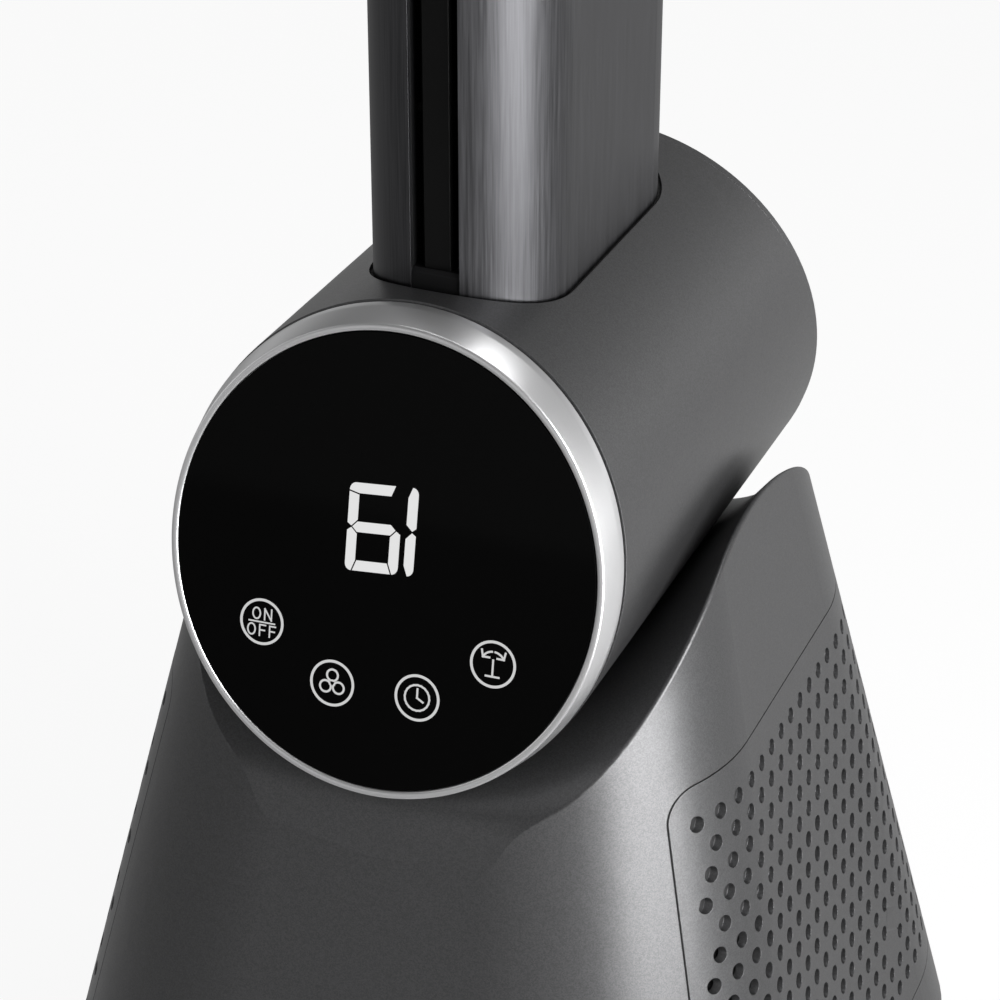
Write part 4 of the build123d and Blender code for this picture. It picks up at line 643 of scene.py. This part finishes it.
@dataclass
class SegmentDisplay:
    """Two seven-segment numerals that shine through the glass.

    Sizes are millimetres on the glass, apart from the notch, a share of the stroke. A spot on a
    digit is given from its lower left corner.
    """

    face: DisplayFace
    tens: str = "6"
    units: str = "1"
    height: float = 26.1
    width: float = 16.6
    units_shift: float = 4.85
    stroke: float = 3.1
    gap: float = 0.45
    notch: float = 0.4
    shoulder: float = 0.9
    corner: float = 1.9
    corner_drop: float = 2.2
    origin: Point = (-11.38, -3.6)
    row_tilt: float = radians(5.5)
    bar_tilt: float = radians(1.2)
    lift: float = 0.03
    thick: float = 0.05

    LIT = {"1": "bc", "6": "afgedc"}

    def rounded_corner(self, tip: Point, drop: Point, steps: int = 6) -> list[Point]:
        """Quarter of an ellipse from the tip on one edge to the drop on the next."""
        turns = [pi / 2 * k / steps for k in range(steps + 1)]
        wide, tall = drop[0] - tip[0], tip[1] - drop[1]
        return [(tip[0] + wide * sin(a), drop[1] + tall * cos(a)) for a in turns]

    def upright(self) -> list[Point]:
        """Outline of the upper right bar, which holds the digit's outer corner."""
        inner = self.width - self.stroke
        middle = self.height / 2
        tip = (self.width - self.corner, self.height)
        notch = self.notch * self.stroke
        low = middle + self.gap / 2
        return [
            (inner, self.height - self.stroke),
            *self.rounded_corner(tip, (self.width, self.height - self.corner_drop)),
            (self.width, low + self.shoulder), (self.width - notch, low),
            (inner, low + self.stroke - notch),
        ]

    def short_upright(self) -> list[Point]:
        """Outline of the upper left bar, which ends under the top bar."""
        middle = self.height / 2
        notch = self.notch * self.stroke
        low = middle + self.gap / 2
        top = self.height - self.corner_drop - self.gap
        return [
            (0.0, top), (self.stroke, self.height - self.stroke - self.gap),
            (self.stroke, low + self.stroke - notch), (notch, low), (0.0, low + self.shoulder),
        ]

    def segments(self) -> dict[str, list[Point]]:
        """Outline of each of the seven segments."""
        wide, tall, middle = self.width, self.height, self.height / 2
        inner = tall - self.stroke
        right = wide - self.corner - self.gap
        cut = wide - self.stroke - self.gap
        half = self.stroke / 2
        upright = self.upright()
        low_right = [(x, tall - y) for x, y in upright]
        tip_corner = self.rounded_corner((wide - self.corner, tall), (wide, tall - self.corner_drop))
        round_end = [(wide - x, y) for x, y in tip_corner]
        return {
            "a": [*reversed(round_end), (right, tall), (cut, inner), (self.stroke, inner)],
            "b": upright,
            "c": low_right,
            "d": [(wide - right, 0.0), (right, 0.0), (cut, self.stroke), (wide - cut, self.stroke)],
            "e": [(wide - x, y) for x, y in low_right],
            "f": self.short_upright(),
            "g": [
                (half, middle), (2 * half, middle + half), (wide - 2 * half, middle + half),
                (wide - half, middle), (wide - 2 * half, middle - half), (2 * half, middle - half),
            ],
        }

    def settle(self, spot: Point, shift: float) -> Point:
        """Moves a spot of a digit to its place on the glass, with the print's tilt."""
        across, up = spot[0] + shift, spot[1]
        return (
            self.origin[0] + across * cos(self.row_tilt) - up * sin(self.bar_tilt),
            self.origin[1] + across * sin(self.row_tilt) + up * cos(self.bar_tilt),
        )

    def build(self) -> bpy.types.Object:
        """Makes the lit segments as one piece."""
        mesh = bmesh.new()
        shapes = self.segments()
        for sign, shift in ((self.tens, 0.0), (self.units, self.units_shift)):
            for name in self.LIT[sign]:
                outline = [self.settle(spot, shift) for spot in shapes[name]]
                self.face.slab(mesh, outline, self.lift, self.thick)
        return mesh_piece("display_digits", mesh, SEGMENT, "drum")


class KeySign(Enum):
    """What a touch key shows inside its circle."""

    POWER_WORDS = "power words"
    SPEED_BLADES = "fan blades"
    TIMER_CLOCK = "clock"
    SWING_ARROWS = "arrows"


@dataclass
class TouchKeys:
    """The four round touch marks printed low on the display; sizes are millimetres.

    The space between letters is a share of their height.
    """

    face: DisplayFace
    radius: float = 6.65
    line: float = 0.8
    thin_line: float = 0.58
    letter_height: float = 3.3
    letter_line: float = 0.44
    letter_space: float = 0.42
    upper_word: float = 0.75
    lower_word: float = -0.95
    dash_up: float = -0.1
    turn: float = radians(2.0)
    lift: float = 0.03
    thick: float = 0.05
    keys: tuple[tuple[float, float, KeySign], ...] = (
        (-36.1, -24.7, KeySign.POWER_WORDS),
        (-12.1, -38.4, KeySign.SPEED_BLADES),
        (14.8, -37.0, KeySign.TIMER_CLOCK),
        (36.9, -22.0, KeySign.SWING_ARROWS),
    )

    def stroke(self, mesh: bmesh.types.BMesh, middle: Point, spots: list[Point], width: float) -> None:
        """Adds a line of even width through the spots, which lie round the key's middle."""
        half = width / 2
        for (x0, y0), (x1, y1) in zip(spots, spots[1:]):
            length = hypot(x1 - x0, y1 - y0)
            ux, uy = (x1 - x0) / length, (y1 - y0) / length
            corners = (
                (x0 - ux * half - uy * half, y0 - uy * half + ux * half),
                (x0 - ux * half + uy * half, y0 - uy * half - ux * half),
                (x1 + ux * half + uy * half, y1 + uy * half - ux * half),
                (x1 + ux * half - uy * half, y1 + uy * half + ux * half),
            )
            outline = [self.settle(middle, corner) for corner in corners]
            self.face.slab(mesh, outline, self.lift, self.thick)

    def settle(self, middle: Point, spot: Point) -> Point:
        """Turns a spot round the key's middle by the print's tilt."""
        x, y = spot
        return (
            middle[0] + x * cos(self.turn) - y * sin(self.turn),
            middle[1] + x * sin(self.turn) + y * cos(self.turn),
        )

    def arc(
        self, middle: Point, radius: float, start: float, end: float, steps: int = 20,
    ) -> list[Point]:
        """Spots along an arc, angles in degrees."""
        turns = [radians(start + (end - start) * k / steps) for k in range(steps + 1)]
        return [(middle[0] + radius * cos(a), middle[1] + radius * sin(a)) for a in turns]

    def letters(self, word: str) -> Iterator[list[Point]]:
        """Strokes of the letters O, N and F, in a box one high, left to right."""
        shapes = {
            "O": [[(x * 0.36 + 0.38, y * 0.5 + 0.5) for x, y in self.arc((0.0, 0.0), 1.0, 0.0, 360.0)]],
            "N": [[(0.0, 0.0), (0.0, 1.0), (0.66, 0.0), (0.66, 1.0)]],
            "F": [[(0.0, 0.0), (0.0, 1.0), (0.56, 1.0)], [(0.0, 0.52), (0.48, 0.52)]],
        }
        widths = {"O": 0.76, "N": 0.66, "F": 0.56}
        space = self.letter_space
        total = sum(widths[sign] for sign in word) + space * (len(word) - 1)
        shift = -total / 2
        for sign in word:
            for line in shapes[sign]:
                yield [(x + shift, y) for x, y in line]
            shift += widths[sign] + space

    def power_words(self) -> Iterator[list[Point]]:
        """Lines of ON over OFF, with a dash between them."""
        tall = self.letter_height
        for word, base in (("ON", self.upper_word), ("OFF", self.lower_word - tall)):
            for line in self.letters(word):
                yield [(x * tall, base + y * tall) for x, y in line]
        half = 0.62 * self.radius
        yield [(-half, self.dash_up), (half, self.dash_up)]

    def fan_blades(self) -> Iterator[list[Point]]:
        """Lines of three round blades about a hub, sized as shares of the circle's radius."""
        reach = self.radius
        for turn in (90.0, 210.0, 330.0):
            hub = (0.12 * reach * cos(radians(turn)), 0.12 * reach * sin(radians(turn)))
            tip = (0.36 * reach * cos(radians(turn)), 0.36 * reach * sin(radians(turn)))
            yield [hub] + self.arc(tip, 0.26 * reach, turn + 200.0, turn + 520.0)

    def clock(self) -> Iterator[list[Point]]:
        """Lines of a clock face and its hands, sized as shares of the circle's radius."""
        reach = self.radius
        yield self.arc((0.0, 0.0), 0.58 * reach, 0.0, 360.0)
        yield [(0.0, 0.4 * reach), (0.0, 0.0), (0.28 * reach, -0.16 * reach)]

    def swing_arrows(self) -> Iterator[list[Point]]:
        """Lines of a stand under two bent arrows, sized as shares of the circle's radius."""
        reach = self.radius
        for side in (-1.0, 1.0):
            yield self.arc((0.0, 0.0), 0.56 * reach, 90.0 - side * 60.0, 90.0 - side * 8.0)
            end = (side * 0.485 * reach, 0.28 * reach)
            inner = (end[0] - side * 0.3 * reach, end[1] + 0.02)
            upper = (end[0] + side * 0.06 * reach, end[1] + 0.3 * reach)
            yield [inner, end, upper]
        low = -0.55 * reach
        yield [(0.0, low), (0.0, 0.18 * reach)]
        yield [(-0.3 * reach, low), (0.3 * reach, low)]

    def sign(self, mesh: bmesh.types.BMesh, middle: Point, kind: KeySign) -> None:
        """Adds the mark inside one key's circle."""
        lines, width = {
            KeySign.POWER_WORDS: (self.power_words, self.letter_line),
            KeySign.SPEED_BLADES: (self.fan_blades, self.thin_line),
            KeySign.TIMER_CLOCK: (self.clock, self.thin_line),
            KeySign.SWING_ARROWS: (self.swing_arrows, self.thin_line),
        }[kind]
        for spots in lines():
            self.stroke(mesh, middle, spots, width)

    def build(self) -> bpy.types.Object:
        """Makes all four keys' marks as one piece."""
        mesh = bmesh.new()
        for x, up, kind in self.keys:
            self.face.ring(mesh, (x, up), self.radius, self.line, self.lift, self.thick)
            self.sign(mesh, (x, up), kind)
        return mesh_piece("touch_key_marks", mesh, PRINT, "drum")


@dataclass
class BezelRing:
    """The satin ring round the glass, with the fine rounded edges that catch the light.

    Radii and depths are millimetres; depth runs back along the drum from the leaning face.
    """

    face: DisplayFace
    profile: tuple[Point, ...] = (
        (61.8, 3.0), (61.8, 18.0), (66.6, 18.0), (66.6, 11.0), (69.4, 11.0), (69.6, 10.8),
        (69.6, 8.3), (69.5, 7.9), (67.72, 0.62), (67.6, 0.36), (67.38, 0.16), (67.05, 0.06),
        (66.4, 0.06), (65.95, 0.14), (65.68, 0.34), (65.52, 0.7), (65.5, 3.0),
    )
    steps: int = 256
    crease_degrees: float = 40.0

    def build(self) -> bpy.types.Object:
        """Sweeps the profile round the drum's axis in leaning rings."""
        mesh = bmesh.new()
        loops = []
        for radius, depth in self.profile:
            loop = []
            for k in range(self.steps):
                x = radius * cos(2 * pi * k / self.steps)
                z = radius * sin(2 * pi * k / self.steps)
                y = self.face.centre.y + depth + z * tan(self.face.lean)
                loop.append(mesh.verts.new(Vector((x, y, self.face.centre.z + z)) * MM))
            loops.append(loop)
        for one, two in zip(loops, loops[1:] + loops[:1]):
            for k in range(self.steps):
                after = (k + 1) % self.steps
                mesh.faces.new((one[k], one[after], two[after], two[k]))
        piece = mesh_piece("bezel_ring_fine", mesh, RING_METAL, "drum")
        smooth_by_angle(piece, self.crease_degrees)
        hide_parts("bezel_ring")
        return piece


# ---------------------------------------------------------------- studio
@dataclass
class SoftLamp:
    """One soft rectangular lamp, in metres and watts."""

    name: str
    place: tuple[float, float, float]
    target: tuple[float, float, float]
    width: float
    height: float
    power: float

    def build(self) -> bpy.types.Object:
        """Makes the lamp and points it at its target."""
        data = bpy.data.lights.new(self.name, "AREA")
        data.shape = "RECTANGLE"
        data.size = self.width
        data.size_y = self.height
        data.energy = self.power
        lamp = bpy.data.objects.new(self.name, data)
        lamp.location = self.place
        aim = Vector(self.target) - Vector(self.place)
        lamp.rotation_euler = aim.to_track_quat("-Z", "Y").to_euler()
        lamp.visible_camera = False
        bpy.context.scene.collection.objects.link(lamp)
        return lamp


@dataclass
class Studio:
    """Pale floor, white surroundings, soft lamps and the camera of the photograph.

    Attributes:
        floor_glow: share of the floor's own light where the camera sees it.
        floor_mirrored: strength of the floor in reflections, at the left and at the right.
        floor_turn: metres either side of the middle over which that strength changes.
        ambient: strength of the even light on matte surfaces.
        ceiling: strength of the ceiling in reflections.
        ceiling_from, ceiling_to: upward part of a direction where walls turn into ceiling.
        left_wall: strength of the left wall in reflections; the right wall has one.
        wall_turn: sideways part of a direction where each wall is reached.
    """

    camera_mm: tuple[float, float, float] = (311.4, -751.7, 688.7)
    azimuth: float = 22.78
    elevation: float = 28.9
    focal_px: float = 2929.0
    frame_px: float = 1000.0
    sensor_mm: float = 36.0
    clip: tuple[float, float] = (0.05, 50.0)
    floor_side: float = 14.0
    floor_colour: str = "#F0F0F0"
    floor_glow: float = 0.9
    floor_mirrored: Point = (0.3, 0.65)
    floor_turn: float = 0.4
    ambient: float = 0.25
    ceiling: float = 0.25
    ceiling_from: float = 0.1
    ceiling_to: float = 0.5
    left_wall: float = 0.55
    wall_turn: float = 0.5
    lamps: tuple[SoftLamp, ...] = (
        SoftLamp("lamp_right", (0.68, -0.3, 0.5), (0.0, 0.0, 0.42), 0.5, 0.96, 15.0),
        SoftLamp("lamp_left", (-1.9, -0.6, 1.2), (0.0, 0.0, 0.35), 0.8, 1.6, 3.0),
        SoftLamp("lamp_top", (0.1, 0.5, 2.7), (0.0, 0.0, 0.3), 1.6, 1.2, 20.0),
    )

    def mirrored(self, tree: Shader, path: bpy.types.NodeOutputs) -> Socket:
        """One for a ray that comes by a reflection or through glass, and zero for others."""
        both = {0: path["Is Glossy Ray"], 1: path["Is Transmission Ray"]}
        return add_node(tree, "ShaderNodeMath", both, operation="MAXIMUM").outputs[0]

    def build_world(self) -> None:
        """White where it is seen, a darker ceiling in reflections, and a weak even light."""
        world = bpy.data.worlds.new("studio_surroundings")
        world.use_nodes = True
        tree = world.node_tree
        tree.nodes.clear()
        path = add_node(tree, "ShaderNodeLightPath").outputs
        way = add_node(tree, "ShaderNodeTexCoord").outputs["Generated"]
        parts = add_node(tree, "ShaderNodeSeparateXYZ", {0: way}).outputs
        fall = {
            "Value": parts["Z"], "From Min": self.ceiling_from, "From Max": self.ceiling_to,
            "To Min": 1.0, "To Max": self.ceiling,
        }
        upward = add_node(tree, "ShaderNodeMapRange", fall).outputs[0]
        across = {
            "Value": parts["X"], "From Min": -self.wall_turn, "From Max": self.wall_turn,
            "To Min": self.left_wall, "To Max": 1.0,
        }
        sideways = add_node(tree, "ShaderNodeMapRange", across).outputs[0]
        product = {0: upward, 1: sideways}
        wall = add_node(tree, "ShaderNodeMath", product, operation="MULTIPLY").outputs[0]
        unseen = {0: self.mirrored(tree, path), 2: self.ambient, 3: wall}
        strength = add_node(tree, "ShaderNodeMix", unseen, data_type="FLOAT").outputs[0]
        whole = {0: path["Is Camera Ray"], 2: strength, 3: 1.0}
        strength = add_node(tree, "ShaderNodeMix", whole, data_type="FLOAT").outputs[0]
        back = add_node(tree, "ShaderNodeBackground", {"Color": (1, 1, 1, 1), "Strength": strength})
        add_node(tree, "ShaderNodeOutputWorld", {"Surface": back.outputs[0]})
        bpy.context.scene.world = world

    def floor_paint(self) -> bpy.types.Material:
        """Matte pale paint that fades to white where the camera sees it and keeps the shadow."""
        paint = bpy.data.materials.new("studio_floor_paint")
        paint.use_nodes = True
        tree = paint.node_tree
        tree.nodes.clear()
        path = add_node(tree, "ShaderNodeLightPath").outputs
        whole = {0: path["Is Camera Ray"], 2: self.mirrored(tree, path), 3: self.floor_glow}
        share = add_node(tree, "ShaderNodeMix", whole, data_type="FLOAT").outputs[0]
        spot = add_node(tree, "ShaderNodeTexCoord").outputs["Object"]
        across = {
            "Value": add_node(tree, "ShaderNodeSeparateXYZ", {0: spot}).outputs["X"],
            "From Min": -self.floor_turn, "From Max": self.floor_turn,
            "To Min": self.floor_mirrored[0], "To Max": self.floor_mirrored[1],
        }
        sideways = add_node(tree, "ShaderNodeMapRange", across).outputs[0]
        lit = {0: path["Is Camera Ray"], 2: sideways, 3: 1.0}
        strength = add_node(tree, "ShaderNodeMix", lit, data_type="FLOAT").outputs[0]
        matte = add_node(tree, "ShaderNodeBsdfDiffuse", {"Color": linear(self.floor_colour)})
        glow = add_node(tree, "ShaderNodeEmission", {"Color": (1, 1, 1, 1), "Strength": strength})
        blend = {0: share, 1: matte.outputs[0], 2: glow.outputs[0]}
        mixed = add_node(tree, "ShaderNodeMixShader", blend)
        add_node(tree, "ShaderNodeOutputMaterial", {"Surface": mixed.outputs[0]})
        return paint

    def build_floor(self) -> bpy.types.Object:
        """Makes the plain floor that the fan stands on."""
        mesh = bmesh.new()
        half = self.floor_side / 2
        corners = ((-half, -half), (half, -half), (half, half), (-half, half))
        mesh.faces.new([mesh.verts.new((x, y, 0.0)) for x, y in corners])
        data = bpy.data.meshes.new("studio_floor")
        mesh.to_mesh(data)
        mesh.free()
        data.materials.append(self.floor_paint())
        floor = bpy.data.objects.new("studio_floor", data)
        bpy.context.scene.collection.objects.link(floor)
        return floor

    def build_camera(self) -> bpy.types.Object:
        """The camera that took the photograph, from its fitted place and angle."""
        data = bpy.data.cameras.new("photo_camera")
        data.sensor_width = self.sensor_mm
        data.lens = self.focal_px / self.frame_px * self.sensor_mm
        data.clip_start, data.clip_end = self.clip
        camera = bpy.data.objects.new("photo_camera", data)
        camera.location = Vector(self.camera_mm) * MM
        camera.rotation_euler = (radians(90.0 - self.elevation), 0.0, radians(self.azimuth))
        bpy.context.scene.collection.objects.link(camera)
        bpy.context.scene.camera = camera
        return camera

    def build(self) -> None:
        """Makes the whole studio."""
        self.build_camera()
        self.build_world()
        self.build_floor()
        for lamp in self.lamps:
            lamp.build()
        bpy.context.scene.view_settings.view_transform = "Standard"


# ---------------------------------------------------------------- sub-assemblies of the fan
Finishes = dict[Finish, tuple[str, ...]]


@dataclass
class Assembly:
    """A sub-assembly whose frame nodes keep their shape and get their finish here."""

    finishes: Finishes

    def dress(self) -> None:
        """Gives every node of the sub-assembly its finish, through the object's own slots."""
        for finish, names in self.finishes.items():
            for name in names:
                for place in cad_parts[name].material_slots:
                    place.link = "OBJECT"
                    place.material = finish.material()
                LOG.info("node %s has %s", name, finish.title)

    def build(self) -> None:
        """Makes the sub-assembly; one with no fine pieces of its own is only dressed."""
        self.dress()


@dataclass
class Foot(Assembly):
    """Round foot that stays on the floor while the base swings on it."""

    finishes: Finishes = field(default_factory=lambda: {
        BLACK_PLASTIC: ("foot_disc",),
        RUBBER: ("foot_pads",),
        STEEL: ("foot_ballast", "swing_spindle"),
        SPRING_STEEL: ("spindle_clip",),
        ZINC: ("foot_screws",),
        WHITE_PLASTIC: ("glide_ring", "swing_ring_gear"),
    })


@dataclass
class SwingDrive(Assembly):
    """Geared motor and pinion that turn the base."""

    finishes: Finishes = field(default_factory=lambda: {
        SHEET_STEEL: ("swing_motor",),
        STEEL: ("swing_motor_shaft",),
        WHITE_PLASTIC: ("swing_pinion",),
        ZINC: ("chassis_screws",),
    })


@dataclass
class Base(Assembly):
    """Painted housing with its saddle and grilles, on the pan with the mains parts."""

    finishes: Finishes = field(default_factory=lambda: {
        PAINT: ("base_housing", "left_grille", "right_grille"),
        FLEECE: ("left_filter", "right_filter"),
        BLACK_PLASTIC: ("base_pan", "power_inlet"),
        WHITE_PLASTIC: ("saddle_glide_pads",),
        BOARD: ("power_board",),
        BRASS: ("inlet_pins",),
        ZINC: ("pan_screws",),
    })


@dataclass
class Blower(Assembly):
    """Blower in the base, from its bellmouth to the duct under the saddle."""

    finishes: Finishes = field(default_factory=lambda: {
        DARK_PLASTIC: ("inlet_shroud", "diffuser", "air_duct", "motor_retainer"),
        GREY_PLASTIC: ("impeller",),
        SHEET_STEEL: ("motor_can", "motor_end_cap"),
        STEEL: ("motor_bearings", "blower_shaft"),
        MAGNET: ("motor_rotor",),
        COPPER: ("motor_stator",),
        RUBBER: ("motor_cushion",),
        ZINC: ("flange_screws", "wheel_nut"),
    })


@dataclass
class Drum(Assembly):
    """Drum that rolls in the saddle and carries the display and the column."""

    finishes: Finishes = field(default_factory=lambda: {
        PAINT: ("drum_shell", "drum_rear_cap"),
        DARK_PLASTIC: ("drum_plenum",),
        RUBBER: ("column_gasket",),
        SHEET_STEEL: ("tilt_clamp",),
        ZINC: ("clamp_screws",),
    })


@dataclass
class Display(Assembly):
    """Touch display in the drum's leaning face, with its ring, numerals and key marks."""

    face: DisplayFace = field(default_factory=DisplayFace)
    finishes: Finishes = field(default_factory=lambda: {
        RING_METAL: ("bezel_ring",),
        # The glass's dim reflections are painted shade of dark surroundings in front of it.
        GLASS_WITH_DIMMED_REFLECTION: ("display_glass",),
        BLACK_PLASTIC: ("display_carrier",),
        WHITE_PLASTIC: ("digit_module",),
        RUBBER: ("glass_gasket",),
        SPRING_STEEL: ("touch_springs",),
        BOARD: ("display_board",),
        ZINC: ("bezel_screws",),
    })

    def build(self) -> None:
        """Dresses the nodes and makes the fine ring and the marks on the glass."""
        self.dress()
        BezelRing(self.face).build()
        SegmentDisplay(self.face).build()
        TouchKeys(self.face).build()


@dataclass
class Column(Assembly):
    """Brushed column with the dark outlet slot in its front."""

    finishes: Finishes = field(default_factory=lambda: {
        COLUMN_METAL: ("left_column_skin", "right_column_skin", "column_cap"),
        BLACK_PLASTIC: ("column_spine",),
        # The slot's inner parts are near black: partly their own colour, partly painted shade of the
        # deep slot.
        SLOT_BLACK_AND_PAINTED_SHADE: ("column_duct", "slot_foot", "slot_head"),
        GLOSS_BLACK: ("outlet_vane",),
        ZINC: ("column_screws",),
    })


def main() -> None:
    """Builds the studio and then each sub-assembly of the fan, in order."""
    logging.basicConfig(level=logging.INFO, format="%(name)s: %(message)s")
    Studio().build()
    assemblies = (Foot(), SwingDrive(), Base(), Blower(), Drum(), Display(), Column())
    for part in assemblies:
        LOG.info("sub-assembly %s", type(part).__name__)
        part.build()
    dressed = {name for part in assemblies for names in part.finishes.values() for name in names}
    for name in sorted(set(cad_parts) - dressed):
        LOG.warning("node %s has no finish", name)


if __name__ == "__main__":
    main()
